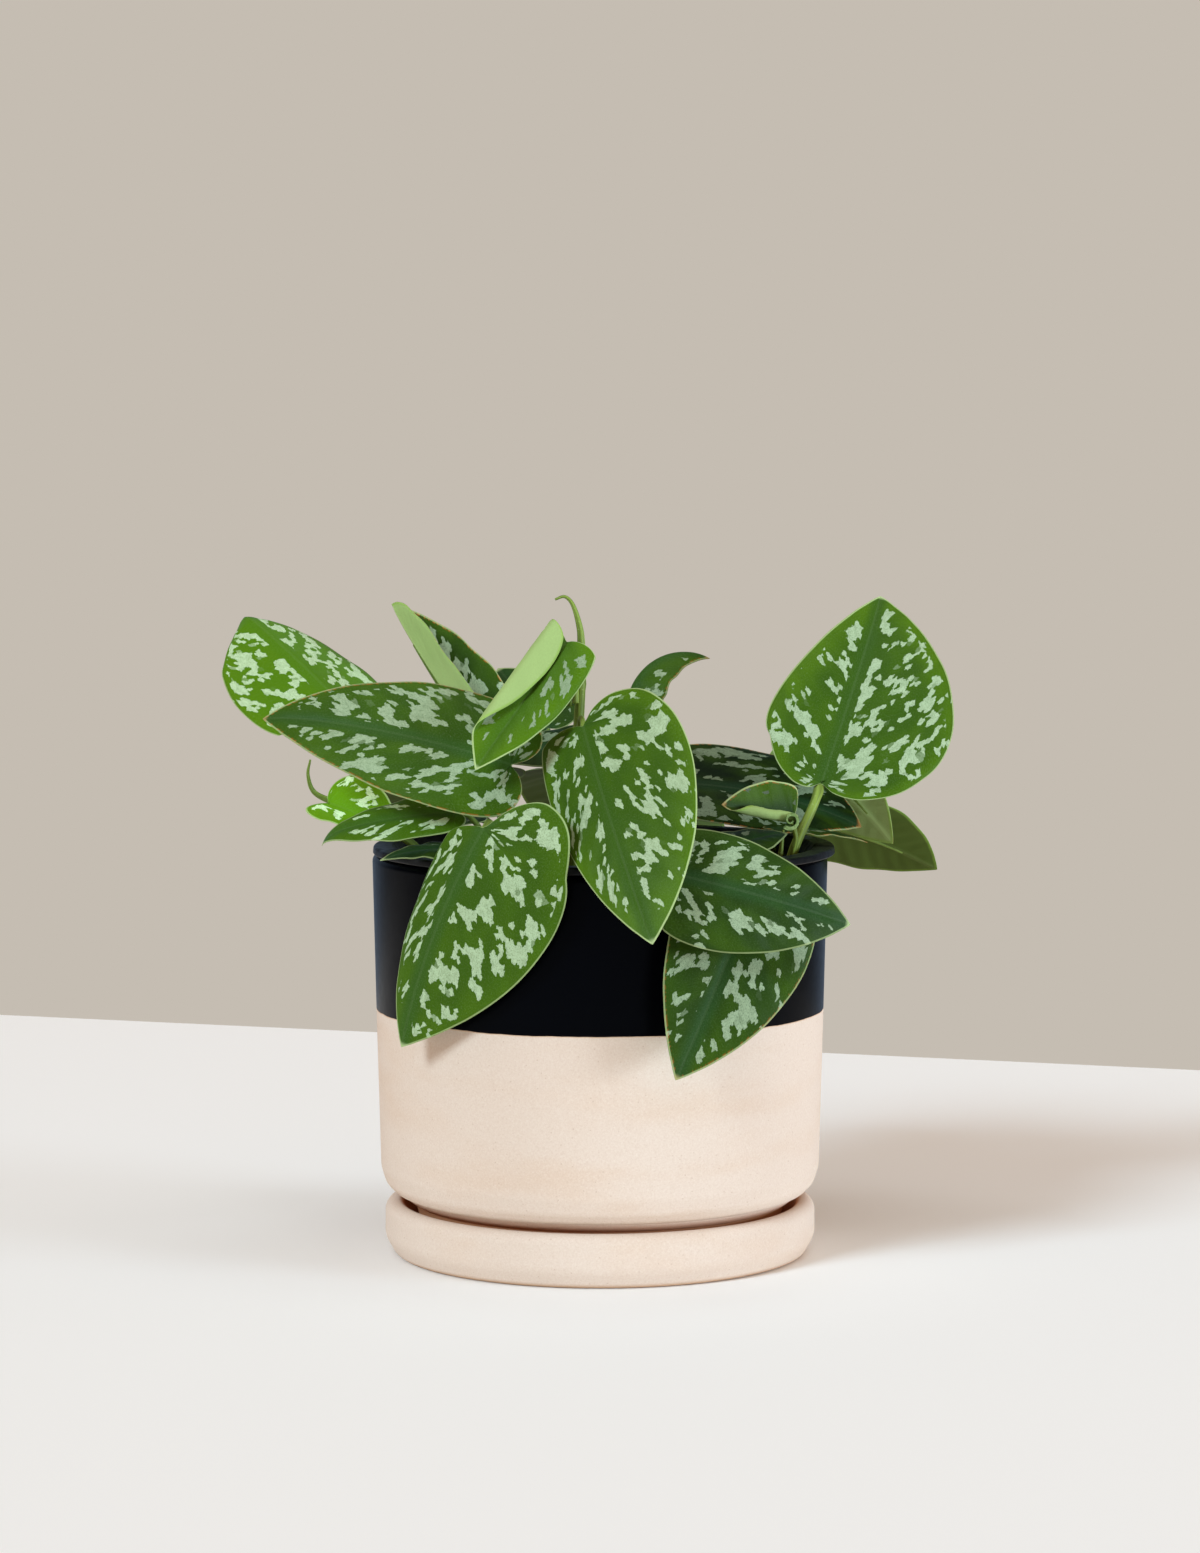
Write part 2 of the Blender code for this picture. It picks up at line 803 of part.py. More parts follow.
def look(name, colour, roughness, metallic):
    made = bpy.data.materials.new(name)
    made.use_nodes = True
    shader = made.node_tree.nodes["Principled BSDF"]
    shader.inputs["Base Color"].default_value = (*colour, 1)
    shader.inputs["Roughness"].default_value = roughness
    shader.inputs["Metallic"].default_value = metallic
    return made


def main():
    for thing in list(bpy.data.objects):
        bpy.data.objects.remove(thing)
    looks = {name: look(name, *values) for name, values in LOOKS.items()}
    node("saucer", *lathe(SAUCER_PROFILE), looks["clay"])
    node("pot", *lathe(POT_PROFILE), looks["clay"])
    liner(looks)
    soil(looks)
    for name, (hole, path, radii) in TUBES.items():
        line = through((down_to_hole(path[::-1], hole))[::-1], TUBE_STEPS)
        radii = np.linspace(*radii, TUBE_STEPS)
        if hole:
            line = np.vstack([(*hole, STEM_FOOT), line])
            radii = [radii[0], *radii]
        node(name, *bar(line, radii), looks["stem"])
    for name, given in LEAVES.items():
        leaf_node(name, given, looks)


if __name__ == "__main__":
    main()
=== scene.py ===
# %% [markdown]
# A satin pothos in its clay pot
#
# This lesson dresses a measured model of a potted house plant. The measured model already has
# every leaf, stem and vessel at its true size, as plain solids. Here each of them gets a finer
# mesh of the same form, and a finish built from nodes. Lengths are in millimetres unless a
# name says otherwise, and MM turns them into Blender's metres.

import bmesh
import bpy
import numpy as np
from mathutils import Matrix, Vector


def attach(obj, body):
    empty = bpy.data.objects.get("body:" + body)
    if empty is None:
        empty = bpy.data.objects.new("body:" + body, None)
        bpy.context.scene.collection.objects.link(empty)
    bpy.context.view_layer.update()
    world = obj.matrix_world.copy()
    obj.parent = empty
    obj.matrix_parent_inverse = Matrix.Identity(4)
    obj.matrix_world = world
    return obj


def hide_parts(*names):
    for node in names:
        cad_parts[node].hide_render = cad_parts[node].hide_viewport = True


MM = 0.001
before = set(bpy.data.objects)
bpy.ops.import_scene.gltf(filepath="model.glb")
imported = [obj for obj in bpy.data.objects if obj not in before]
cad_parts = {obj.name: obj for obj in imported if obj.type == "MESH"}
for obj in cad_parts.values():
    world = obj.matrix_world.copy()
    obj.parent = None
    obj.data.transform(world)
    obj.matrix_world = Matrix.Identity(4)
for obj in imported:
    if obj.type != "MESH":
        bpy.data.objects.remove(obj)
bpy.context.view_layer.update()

# %% [markdown]
# The camera
#
# The photograph looks at the pot from a little above its rim with a long lens, so that the
# rim and the saucer are seen as flat ovals. Distance, height and tilt follow from how wide
# those two ovals are and how far apart they lie.

# %% Place the camera
CAMERA_PLACE = Vector((0, -1323, 256)) * MM
CAMERA_DIP = 4.70  # degrees below level
LENS = 99.84
lens = bpy.data.cameras.new("camera")
lens.lens = LENS
lens.clip_end = 20
camera = bpy.data.objects.new("camera", lens)
camera.location = CAMERA_PLACE
camera.rotation_euler = (np.radians(90 - CAMERA_DIP), 0, 0)
bpy.context.collection.objects.link(camera)
bpy.context.scene.camera = camera
bpy.context.scene.view_settings.view_transform = "Standard"
print("camera:", [round(c / MM) for c in CAMERA_PLACE], "mm, tilted", CAMERA_DIP, "degrees down")

# %% [markdown]
# Writing node trees as formulas
#
# A finish is a small program: where the silver is, how deep a vein lies, how a colour fades
# to the margin. Drawn as nodes such a program is long, so Wire stands for one socket and
# lets Python's own signs add the Math nodes. A Math node turns a colour grey, so colours go
# through mix or tinted, and vectors through vector.

# %% Wire, a socket that takes part in sums


class Wire:
    """One socket of a material. A sum on wires adds the node that works it out."""

    def __init__(self, tree, socket=None):
        self.tree = tree
        self.socket = socket

    def node(self, kind, inputs=(), out=0, **settings):
        """Adds a node, gives it its settings and then its inputs, and returns an output."""
        made = self.tree.nodes.new("ShaderNode" + kind)
        for name, value in settings.items():
            setattr(made, name, value)
        for name, value in dict(inputs).items():
            if isinstance(value, Wire):
                self.tree.links.new(value.socket, made.inputs[name])
            else:
                made.inputs[name].default_value = value
        return Wire(self.tree, made.outputs[out])

    def sum(self, operation, first, second):
        """A Math node on two numbers, either of which may be a wire."""
        return self.node("Math", {0: first, 1: second}, operation=operation)

    def __add__(self, other):
        return self.sum("ADD", self, other)

    def __radd__(self, other):
        return self.sum("ADD", other, self)

    def __sub__(self, other):
        return self.sum("SUBTRACT", self, other)

    def __rsub__(self, other):
        return self.sum("SUBTRACT", other, self)

    def __mul__(self, other):
        return self.sum("MULTIPLY", self, other)

    def __rmul__(self, other):
        return self.sum("MULTIPLY", other, self)

    def step(self, low, high):
        """0 below low, 1 above high and smooth between. With low above high it falls instead."""
        rising = {"Value": self, "From Min": min(low, high), "From Max": max(low, high)}
        made = self.node("MapRange", rising, interpolation_type="SMOOTHSTEP")
        return made if low < high else 1 - made

    def vector(self, operation, other):
        """A Vector Math node on this wire and another vector."""
        return self.node("VectorMath", {0: self, 1: other}, operation=operation)

    def reach(self):
        """How long a vector is."""
        return self.node("VectorMath", {0: self}, out="Value", operation="LENGTH")

    def part(self, axis):
        """One number of a vector."""
        return self.node("SeparateXYZ", {0: self}, out=axis)

    def mix(self, first, second):
        """A colour that goes from the first to the second as this wire goes from 0 to 1."""
        return self.node("Mix", {0: self, 6: first, 7: second}, out=2, data_type="RGBA")

    def tinted(self, colour, share):
        """The colour that this wire carries, with a fixed share of another one in it."""
        return self.node("Mix", {0: share, 6: self, 7: colour}, out=2, data_type="RGBA")

    def noise(self, scale, detail=2.0, roughness=0.5, out=0):
        """Noise at the places that this wire gives, scale features a unit."""
        inputs = {"Vector": self, "Scale": scale, "Detail": detail, "Roughness": roughness}
        return self.node("TexNoise", inputs, out=out)

    def cells(self, out="Distance", **settings):
        """A Voronoi pattern, one cell a unit, at the places that this wire gives."""
        return self.node("TexVoronoi", {"Vector": self, "Scale": 1.0}, out=out, **settings)


print("signs that work on wires: + - *, also with a number on their left")

# %% [markdown]
# Colours and new materials
#
# Colours are picked from the photograph as a screen shows them, from 0 to 255. Shaders work
# with light, so each number is first turned into the amount of light that it stands for.

# %% Colours and materials


def shade(red, green, blue):
    """A colour as a screen shows it, as the light that a shader works with."""
    screen = np.array([red, green, blue]) / 255
    light = np.where(screen < 0.04045, screen / 12.92, ((screen + 0.055) / 1.055) ** 2.4)
    return (*(float(c) for c in light), 1.0)


def new_finish(name, **values):
    """A material, its shader with these socket values, and a wire to build its nodes with."""
    made = bpy.data.materials.new(name)
    made.use_nodes = True
    shader = made.node_tree.nodes["Principled BSDF"]
    for socket, value in values.items():
        shader.inputs[socket.replace("_", " ")].default_value = value
    return made, shader, Wire(made.node_tree)


def feed(shader, socket, wire):
    """Links a wire to one of the shader's sockets."""
    wire.tree.links.new(wire.socket, shader.inputs[socket])


def bump(shader, height, depth):
    """Feeds a height from 0 to 1 to the shader's normal. The depth is in millimetres."""
    inputs = {"Height": height, "Distance": depth * MM, "Strength": 1.0}
    feed(shader, "Normal", height.node("Bump", inputs))


def millimetres(pen):
    """Places on the object, in millimetres."""
    return pen.node("TexCoord", out="Object").vector("MULTIPLY", (1 / MM, 1 / MM, 1 / MM))


print("a screen's middle grey is", round(shade(128, 128, 128)[0], 2), "of its light")

# %% [markdown]
# Points, curves and meshes
#
# Everything on this plant is either turned on a wheel, swept along a curve or laid out as a
# grid of points. All three start as plain lists of points in millimetres, and a smooth curve
# through a few chosen points is what most of them are drawn with.

# %% Curves and pieces
CURVE_STEPS = 16  # fine points between two chosen ones



def through(points, count):
    """A smooth curve through the points, as evenly spaced points."""
    points = np.asarray(points, float)
    ends = np.vstack([2 * points[0] - points[1], points, 2 * points[-1] - points[-2]])
    fine = []
    for i in range(1, len(ends) - 2):
        a, b, c, d = ends[i - 1 : i + 3]
        for t in np.linspace(0, 1, CURVE_STEPS, endpoint=False):
            bend = (2 * a - 5 * b + 4 * c - d) * t**2 + (3 * b - a - 3 * c + d) * t**3
            fine.append(0.5 * (2 * b + (c - a) * t + bend))
    fine = np.array(fine + [points[-1]])
    run = np.append(0, np.cumsum(np.linalg.norm(np.diff(fine, axis=0), axis=1)))
    places = np.linspace(0, run[-1], count)
    return np.column_stack([np.interp(places, run, fine[:, k]) for k in range(fine.shape[1])])


def unit(vector):
    """The same direction, one long."""
    return np.asarray(vector, float) / np.linalg.norm(vector)


def mesh_piece(name, points, faces, finishes, smooth=True):
    """An object from points in millimetres, with one or more finishes."""
    mesh = bpy.data.meshes.new(name)
    mesh.from_pydata([Vector(p) * MM for p in points], [], faces)
    for finish in finishes:
        mesh.materials.append(finish)
    if smooth:
        mesh.shade_smooth()
    piece = bpy.data.objects.new(name, mesh)
    bpy.context.collection.objects.link(piece)
    return piece


def write(mesh, name, values):
    """Stores a vector for each point of the mesh, for its material to read."""
    made = mesh.attributes.new(name, "FLOAT_VECTOR", "POINT")
    made.data.foreach_set("vector", np.asarray(values, np.float32).ravel())


def ring(radius, count):
    """Places round the upright axis, evenly apart."""
    angles = np.arange(count) * 2 * np.pi / count
    return [(radius * np.cos(a), radius * np.sin(a)) for a in angles]


def gathered(parts):
    """Several lots of points and faces as one."""
    points, faces = [], []
    for more, corners in parts:
        faces += [tuple(i + len(points) for i in face) for face in corners]
        points += list(more)
    return points, faces


def outward(piece):
    """Turns all faces of a closed mesh outward."""
    built = bmesh.new()
    built.from_mesh(piece.data)
    bmesh.ops.recalc_face_normals(built, faces=built.faces)
    built.to_mesh(piece.data)
    built.free()


def settle(piece, slot, *nodes):
    """The piece rides on the plant's one body and stands for these solids."""
    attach(piece, "root")
    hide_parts(*nodes)


print("a curve through three points:", through([(0, 0), (1, 1), (2, 0)], 5).round(2).tolist())

# %% [markdown]
# Swept and turned forms
#
# A stalk is a circle swept along a curve, so rings of points along it become a closed tube.
# A vessel is a profile turned about the upright axis, as a potter turns it on the wheel. Its
# profile is given by its corners, and each corner is rounded off by an arc of its own size,
# which is quicker to read and to change than a long list of points.

# %% Tubes and vessels
SEGMENTS = 192  # points round a vessel


def tube(line, radii, sides):
    """Points and faces of a closed tube round a line, with a radius at each of its points."""
    line = np.asarray(line, float)
    ways = np.gradient(line, axis=0)
    across = (1, 0, 0) if abs(unit(ways[0])[2]) > 0.9 else np.cross(ways[0], (0, 0, 1))
    across = unit(across)
    points, faces = [], []
    for point, way, radius in zip(line, ways, radii):
        way = unit(way)
        across = unit(across - way * np.dot(across, way))
        for angle in np.arange(sides) * 2 * np.pi / sides:
            out = np.cos(angle) * across + np.sin(angle) * np.cross(way, across)
            points.append(point + radius * out)
    for i in range(len(line) - 1):
        for k in range(sides):
            a, b = i * sides + k, i * sides + (k + 1) % sides
            faces.append((a, b, b + sides, a + sides))
    faces.append(tuple(range(sides))[::-1])
    faces.append(tuple(range((len(line) - 1) * sides, len(line) * sides)))
    return points, faces


def rounded(corners, steps=8):
    """A profile whose corners, given as (radius, z, rounding), are rounded off by arcs."""
    corners = np.array(corners, float)
    made = []
    neighbours = zip(np.roll(corners, 1, 0), corners, np.roll(corners, -1, 0))
    for before, (x, z, radius), after in neighbours:
        here = np.array([x, z])
        if radius == 0:
            made.append(tuple(here))
            continue
        back, on = unit(before[:2] - here), unit(after[:2] - here)
        half = np.arccos(np.clip(np.dot(back, on), -1, 1)) / 2
        reach = radius / np.tan(half)
        centre = here + unit(back + on) * radius / np.sin(half)
        start, end = here + back * reach - centre, here + on * reach - centre
        sweep = np.arctan2(start[0] * end[1] - start[1] * end[0], np.dot(start, end))
        for turn in np.linspace(0, sweep, steps + 1):
            c, s = np.cos(turn), np.sin(turn)
            spoke = (start[0] * c - start[1] * s, start[0] * s + start[1] * c)
            made.append(tuple(centre + spoke))
    return made


def turned_piece(name, profile, finishes):
    """A closed form turned about the upright axis from a profile of (radius, z)."""
    points, faces, rings = [], [], []
    for radius, z in profile:
        if radius == 0:
            rings.append([len(points)] * SEGMENTS)
            points.append((0, 0, z))
            continue
        rings.append(list(range(len(points), len(points) + SEGMENTS)))
        points += [(x, y, z) for x, y in ring(radius, SEGMENTS)]
    for first, second in zip(rings, rings[1:] + rings[:1]):
        for k in range(SEGMENTS):
            n = (k + 1) % SEGMENTS
            corners = tuple(dict.fromkeys((first[k], first[n], second[n], second[k])))
            if len(corners) > 2:
                faces.append(corners)
    piece = mesh_piece(name, points, faces, finishes)
    outward(piece)
    return piece


print("a rounded corner has", len(rounded([(0, 0, 0), (9, 0, 2), (9, 9, 0)])) - 2, "points")

# %% [markdown]
# Clay and glaze
#
# The pot was thrown in a pale, sandy clay, fired without a finish on its lower half and dipped
# upside down in a dark blue-black glaze. The bare clay has fine grains and a faint blush where
# the kiln was hotter. The dip leaves one clean line, with a hair of bare, darker clay along it,
# where the liquid drew back. One material holds both, because on the real pot they are one
# body, and the height on the pot says which of them shows. Low on its foot, under the
# shoulder, the clay is painted warmer, as shade.

# %% The clay and glaze materials
CLAY = shade(228, 208, 191)
CLAY_BLUSH = shade(223, 196, 173)
CLAY_GRAIN = shade(186, 150, 122)
CLAY_PALE = shade(242, 229, 216)
CLAY_EDGE = shade(206, 158, 112)
# Painted warm shade: inside the saucer and on the pot's foot under the shoulder.
CLAY_PAINTED_WARM_SHADE = shade(204, 134, 80)
GLAZE = shade(1, 1, 3)
GLAZE_PIT = shade(60, 66, 74)
GLAZE_TINT = (0.8, 0.93, 1.1, 1.0)
GLAZE_LINE = 76.1
LINE_WANDER = 0.9  # how far the line rises and falls, slowly and in small steps
LINE_RAGGED = 0.15
RAW = 0.88  # roughness of bare clay


def clay_colour(at):
    """Pale clay with a soft blush in level bands, and fine darker and lighter grains."""
    blush = at.vector("MULTIPLY", (0.3, 0.3, 1)).noise(0.06, 3.0).step(0.46, 0.74) * 0.6
    body = blush.mix(CLAY, CLAY_BLUSH)
    grain = at.noise(1.7, 4.0, 0.75)
    body = (grain.step(0.5, 0.68) * 0.17).mix(body, CLAY_GRAIN)
    body = (grain.step(0.5, 0.34) * 0.3).mix(body, CLAY_PALE)
    fleck = at.vector("MULTIPLY", (0.4, 0.4, 0.4)).cells()
    return (fleck.step(0.12, 0.05) * 0.4).mix(body, CLAY_GRAIN), grain


def bare_clay():
    """Raw clay with painted warm shade inside the saucer, and a darker line at its bottom edge."""
    finish, shader, pen = new_finish("bare clay", Roughness=RAW)
    at = millimetres(pen)
    colour, grain = clay_colour(at)
    height = at.part("Z")
    reach = at.vector("MULTIPLY", (1, 1, 0)).reach()
    # Painted warm shade on the inner wall and lip of the saucer, where the recess is dim.
    inside = reach.step(62.6, 61.0) * height.step(4.0, 4.8)
    colour = (inside * 0.85).mix(colour, CLAY_PAINTED_WARM_SHADE)
    feed(shader, "Base Color", (height.step(1.8, 0.3) * 0.7).mix(colour, CLAY_EDGE))
    bump(shader, grain, 0.05)
    return finish


def dipped_clay():
    """Raw clay below the glaze line, dark glaze above it and a bare seam along it."""
    tint = {"Specular_IOR_Level": 0.05, "Specular_Tint": GLAZE_TINT}
    finish, shader, pen = new_finish("dipped clay", **tint)
    at = millimetres(pen)
    colour, grain = clay_colour(at)
    height = at.part("Z")
    around = at.vector("MULTIPLY", (1, 1, 0))
    line = height - (around.noise(0.06, 2.0) - 0.5) * LINE_WANDER
    line = line - (around.noise(0.6) - 0.5) * LINE_RAGGED
    glazed = line.step(GLAZE_LINE - 0.06, GLAZE_LINE + 0.06)
    seam = line.step(GLAZE_LINE - 0.5, GLAZE_LINE) * 0.6
    pits = at.vector("MULTIPLY", (0.35, 0.35, 0.35)).cells().step(0.05, 0.03)
    dark = (pits * 0.1).mix(GLAZE, GLAZE_PIT)
    # Painted warm shade on the foot under the shoulder.
    colour = (height.step(19.6, 15.5) * 0.85).mix(colour, CLAY_PAINTED_WARM_SHADE)
    feed(shader, "Base Color", glazed.mix(seam.mix(colour, CLAY_EDGE), dark))
    feed(shader, "Roughness", RAW - glazed * (0.62 - at.noise(0.4) * 0.1))
    bump(shader, grain * (1 - glazed) * 0.4 + glazed * (0.6 + at.noise(0.12) * 0.4), 0.12)
    return finish


print("glaze down to", GLAZE_LINE, "mm above the table")

# %% [markdown]
# Pot and saucer
#
# The walls are drawn as corners with a rounding for each, the way a potter's template is cut:
# a straight wall with a slight flare, a full round shoulder into a narrower foot, and a rim
# as thick as a finger's breadth. The saucer is a shallow dish with a rolled edge, a bit
# narrower than the pot.

# %% Turn the pot and the saucer
POT_CORNERS = (
    (7, 9, 0), (47.5, 9, 0.6), (48.8, 5.3, 0.8), (54.6, 5.3, 0.9), (57.6, 17.4, 0.8),
    (59.6, 18.3, 2.5), (63.6, 19.5, 5.0), (66.4, 22.4, 5.0), (67.8, 27.0, 8.0),
    (69.1, GLAZE_LINE, 0), (70.2, 124.0, 2.3), (65.0, 123.6, 2.0), (62.3, 15.5, 7.5),
    (7, 15.5, 0),
)
SAUCER_CORNERS = (
    (0, 0, 0), (63.4, 0, 2.8), (66.6, 5.6, 7.0), (66.5, 17.0, 3.4), (61.0, 16.2, 2.2),
    (58.2, 5.0, 3.0), (0, 5.0, 0),
)
pot = turned_piece("clay_pot", rounded(POT_CORNERS), [dipped_clay()])
settle(pot, "clay", "pot")
saucer = turned_piece("clay_saucer", rounded(SAUCER_CORNERS), [bare_clay()])
settle(saucer, "clay", "saucer")
print("pot and saucer:", len(pot.data.polygons) + len(saucer.data.polygons), "faces")

# %% [markdown]
# The nursery pot
#
# Growers sell the plant in a thin black plastic pot, and the clay pot only covers it. Its
# collar rests on the clay rim and shows as a dark band under the leaves. Moulded plastic is
# slightly glossy and a little rough from handling.

# %% Turn the nursery pot
OFF_CENTRE = 1.2  # the nursery pot stands this far to the right in the clay pot
LINER_CORNERS = (
    (0, 24.0, 0), (48.0, 24.0, 1.5), (63.2, 123.6, 0.8), (71.2, 124.0, 0.4),
    (71.0, 126.3, 0.8), (65.0, 126.3, 1.2), (62.2, 123.0, 1.0), (47.0, 25.2, 1.2),
    (0, 25.2, 0),
)
LINER_DRAINS = ((30.0, 6), (0.0, 1))  # how far from the middle, and how many
DRAIN_RADIUS = 4.0
DRAIN_FOOT = 22  # each cutter starts below the floor and ends above it
DRAIN_HEIGHT = 5
PLASTIC = shade(8, 8, 9)
DUST = shade(30, 28, 27)


def black_plastic():
    """Black plastic with a little dust on it."""
    finish, shader, pen = new_finish("black plastic", Specular_IOR_Level=0.2)
    at = millimetres(pen)
    dust = at.noise(0.25, 4.0).step(0.45, 0.8)
    feed(shader, "Base Color", dust.mix(PLASTIC, DUST))
    feed(shader, "Roughness", 0.42 + dust * 0.3)
    bump(shader, at.noise(1.5), 0.03)
    return finish


def cut(piece, cutter):
    """Cuts the second mesh out of the first and removes it."""
    change = piece.modifiers.new("cut", "BOOLEAN")
    change.operation = "DIFFERENCE"
    change.object = cutter
    change.solver = "MANIFOLD"
    graph = bpy.context.evaluated_depsgraph_get()
    made = bpy.data.meshes.new_from_object(piece.evaluated_get(graph))
    piece.modifiers.clear()
    piece.data = made
    bpy.data.objects.remove(cutter)


liner = turned_piece("black_nursery_pot", rounded(LINER_CORNERS, 5), [black_plastic()])
drains = []
for reach, count in LINER_DRAINS:
    for x, y in ring(reach, count):
        line = [(x, y, DRAIN_FOOT), (x, y, DRAIN_FOOT + DRAIN_HEIGHT)]
        drains.append(tube(line, [DRAIN_RADIUS, DRAIN_RADIUS], 24))
cut(liner, mesh_piece("drains", *gathered(drains), [], smooth=False))
liner.data.transform(Matrix.Translation((OFF_CENTRE * MM, 0, 0)))
settle(liner, "liner", "nursery_pot")
liner.data.set_sharp_from_angle(angle=np.radians(35))
print("nursery pot:", len(drains), "drainage holes")

# %% [markdown]
# Potting mix
#
# Aroids grow in a coarse mix of bark, peat and white perlite. A flat brown disc looks fake
# as soon as light falls between the leaves, so the top is a lumpy sheet with loose chips
# pressed into it. Its lumps are a sum of a few waves that cross each other.

# %% The body of the mix
SOIL_TOP = 112.0
SOIL_FLOOR = 25.5
SOIL_RADIUS = 60.0
SOIL_FOOT = 46.8  # radius at the floor of the nursery pot
SOIL_RINGS = 46
SOIL_SPOKES = 160
PEAT = shade(40, 28, 20)
PEAT_PALE = shade(74, 54, 38)


def potting_mix(name, dark, pale, pale_from):
    """A damp, crumbly finish in two colours."""
    finish, shader, pen = new_finish(name, Roughness=0.95)
    at = millimetres(pen)
    colour = at.noise(0.9, 4.0, 0.6).step(0.35, 0.65).mix(dark, pale)
    feed(shader, "Base Color", at.noise(0.35).step(pale_from, pale_from + 0.05).mix(dark, colour))
    bump(shader, at.noise(2.0, 4.0, 0.7), 0.5)
    return finish


def lumps(x, y):
    """Height of the mix over its level at a place, from a few crossed waves."""
    waves = np.sin(0.41 * x + 1.3) * np.cos(0.37 * y) + 0.6 * np.sin(0.9 * x - 0.7 * y + 2)
    waves += 0.5 * np.sin(1.9 * y + 1.1 * x) * np.sin(2.3 * x - 0.4 * y)
    return 0.45 * waves - 0.6


def mix_top():
    """A lumpy disc with a side wall and a floor, closed all round."""
    points, faces = [(0, 0, SOIL_FLOOR), (0, 0, SOIL_TOP + lumps(0, 0))], []
    rings = []
    for i in range(1, SOIL_RINGS + 1):
        radius = SOIL_RADIUS * i / SOIL_RINGS
        rings.append(list(range(len(points), len(points) + SOIL_SPOKES)))
        points += [(x, y, SOIL_TOP + lumps(x, y)) for x, y in ring(radius, SOIL_SPOKES)]
    rings.append(list(range(len(points), len(points) + SOIL_SPOKES)))
    points += [(x, y, SOIL_FLOOR) for x, y in ring(SOIL_FOOT, SOIL_SPOKES)]
    for k in range(SOIL_SPOKES):
        n = (k + 1) % SOIL_SPOKES
        faces.append((1, rings[0][k], rings[0][n]))
        faces.append((0, rings[-1][n], rings[-1][k]))
        for a, b in zip(rings, rings[1:]):
            faces.append((a[k], b[k], b[n], a[n]))
    return points, faces


mix = mesh_piece("potting_mix", *mix_top(), [potting_mix("peat", PEAT, PEAT_PALE, 0.4)])
settle(mix, "soil", "soil")
print("potting mix:", len(mix.data.polygons), "faces")

# %% [markdown]
# Bark and perlite
#
# A chip is a squashed, cut-off blob, turned at random: flat and brown for bark, and round,
# small and white for perlite. The random numbers have a fixed seed, so the mix is the same
# each time. The mix and all chips are then moved to where the nursery pot stands.

# %% Scatter the chips
CHIPS = 900
GRAINS = 128
EDGE_GAP = 2.5  # chips keep this far from the edge of the mix
BARK = shade(62, 38, 22)
BARK_PALE = shade(112, 76, 46)
PERLITE = shade(196, 190, 178)
PERLITE_PALE = shade(228, 224, 214)
draw = np.random.default_rng(7)


def chip(place, size, flat):
    """Points and faces of one chip: a rough blob of twelve points."""
    built = bmesh.new()
    bmesh.ops.create_icosphere(built, subdivisions=1, radius=1)
    turn = Matrix.Rotation(draw.uniform(0, 6.3), 3, unit(draw.normal(size=3)))
    points = []
    for v in built.verts:
        p = Vector(v.co) * draw.uniform(0.75, 1.15)
        p = turn @ Vector((p.x, p.y * 0.7, p.z * flat)) * size
        points.append(np.array(place) + np.array(p))
    faces = [tuple(v.index for v in f.verts) for f in built.faces]
    built.free()
    return points, faces


def scattered(count, small, large, flat):
    """Chips spread evenly over the mix, half sunk into it."""
    made = []
    for _ in range(count):
        radius = (SOIL_RADIUS - EDGE_GAP) * np.sqrt(draw.uniform())
        angle = draw.uniform(0, 2 * np.pi)
        x, y = radius * np.cos(angle), radius * np.sin(angle)
        size = draw.uniform(small, large)
        made.append(chip((x, y, SOIL_TOP + lumps(x, y) + 0.2 * size), size, flat))
    return made


bark = potting_mix("bark", BARK, BARK_PALE, 0.35)
chips = gathered(scattered(CHIPS, 0.7, 2.6, 0.35))
bark_chips = mesh_piece("bark_chips", *chips, [bark], smooth=False)
settle(bark_chips, "soil", "soil")
white_grain = potting_mix("perlite", PERLITE, PERLITE_PALE, 0.3)
grains = gathered(scattered(GRAINS, 0.5, 1.3, 0.8))
perlite = mesh_piece("perlite", *grains, [white_grain])
settle(perlite, "soil", "soil")
for piece in (mix, bark_chips, perlite):
    piece.data.transform(Matrix.Translation((OFF_CENTRE * MM, 0, 0)))
print("loose in the mix:", CHIPS, "chips of bark and", GRAINS, "grains of perlite")

# %% [markdown]
# The shape of a leaf
#
# Every leaf of this plant is a lopsided heart: two lobes at the petiole, the widest part a
# fifth of the way along, then a long sweep to a drawn-out tip. Its side veins leave the midrib
# and run forward to the margin. So the blade is laid out along the veins: one row of points
# per vein line, from the midrib to the margin. Each half can be folded up or down, curled at
# its edge or rolled over, which is how new leaves look before they lie flat. The table says
# where each blade starts and ends, which way it faces, how wide its left and right half are,
# where its petiole runs and how it is bent, with the same values that the measured model was
# made from. SHAPE holds what a leaf is when its entry says nothing else.

# %% The leaves in a table
SHAPE = dict(
    bend=0, hook=0, sway=0, fold=(0, 0), curl=(0, 0), roll=(0, 0), roll_at=(0.5, 0.5),
    roll_width=0.35, lobe=(1, 1), belly=(0, 0), shear=(0, 0), stalk=(1.1, 0.8), rib=0.72,
)
SMALL = dict(bend=20, fold=(5, 5), curl=(-20, -20))  # small leaves low in the pot
REAR = dict(fold=(6, 6), curl=(-18, -18))  # leaves at the back
HALF_OUTLINE = (  # out from the midrib, and along it
    (0.0, 0.0), (0.17, -0.062), (0.42, -0.092), (0.72, -0.062), (0.93, 0.045), (1.0, 0.20),
    (0.955, 0.38), (0.81, 0.56), (0.59, 0.725), (0.34, 0.86), (0.145, 0.945),
    (0.045, 0.985), (0.0, 1.0),
)
VEIN_SWEEP = 0.24
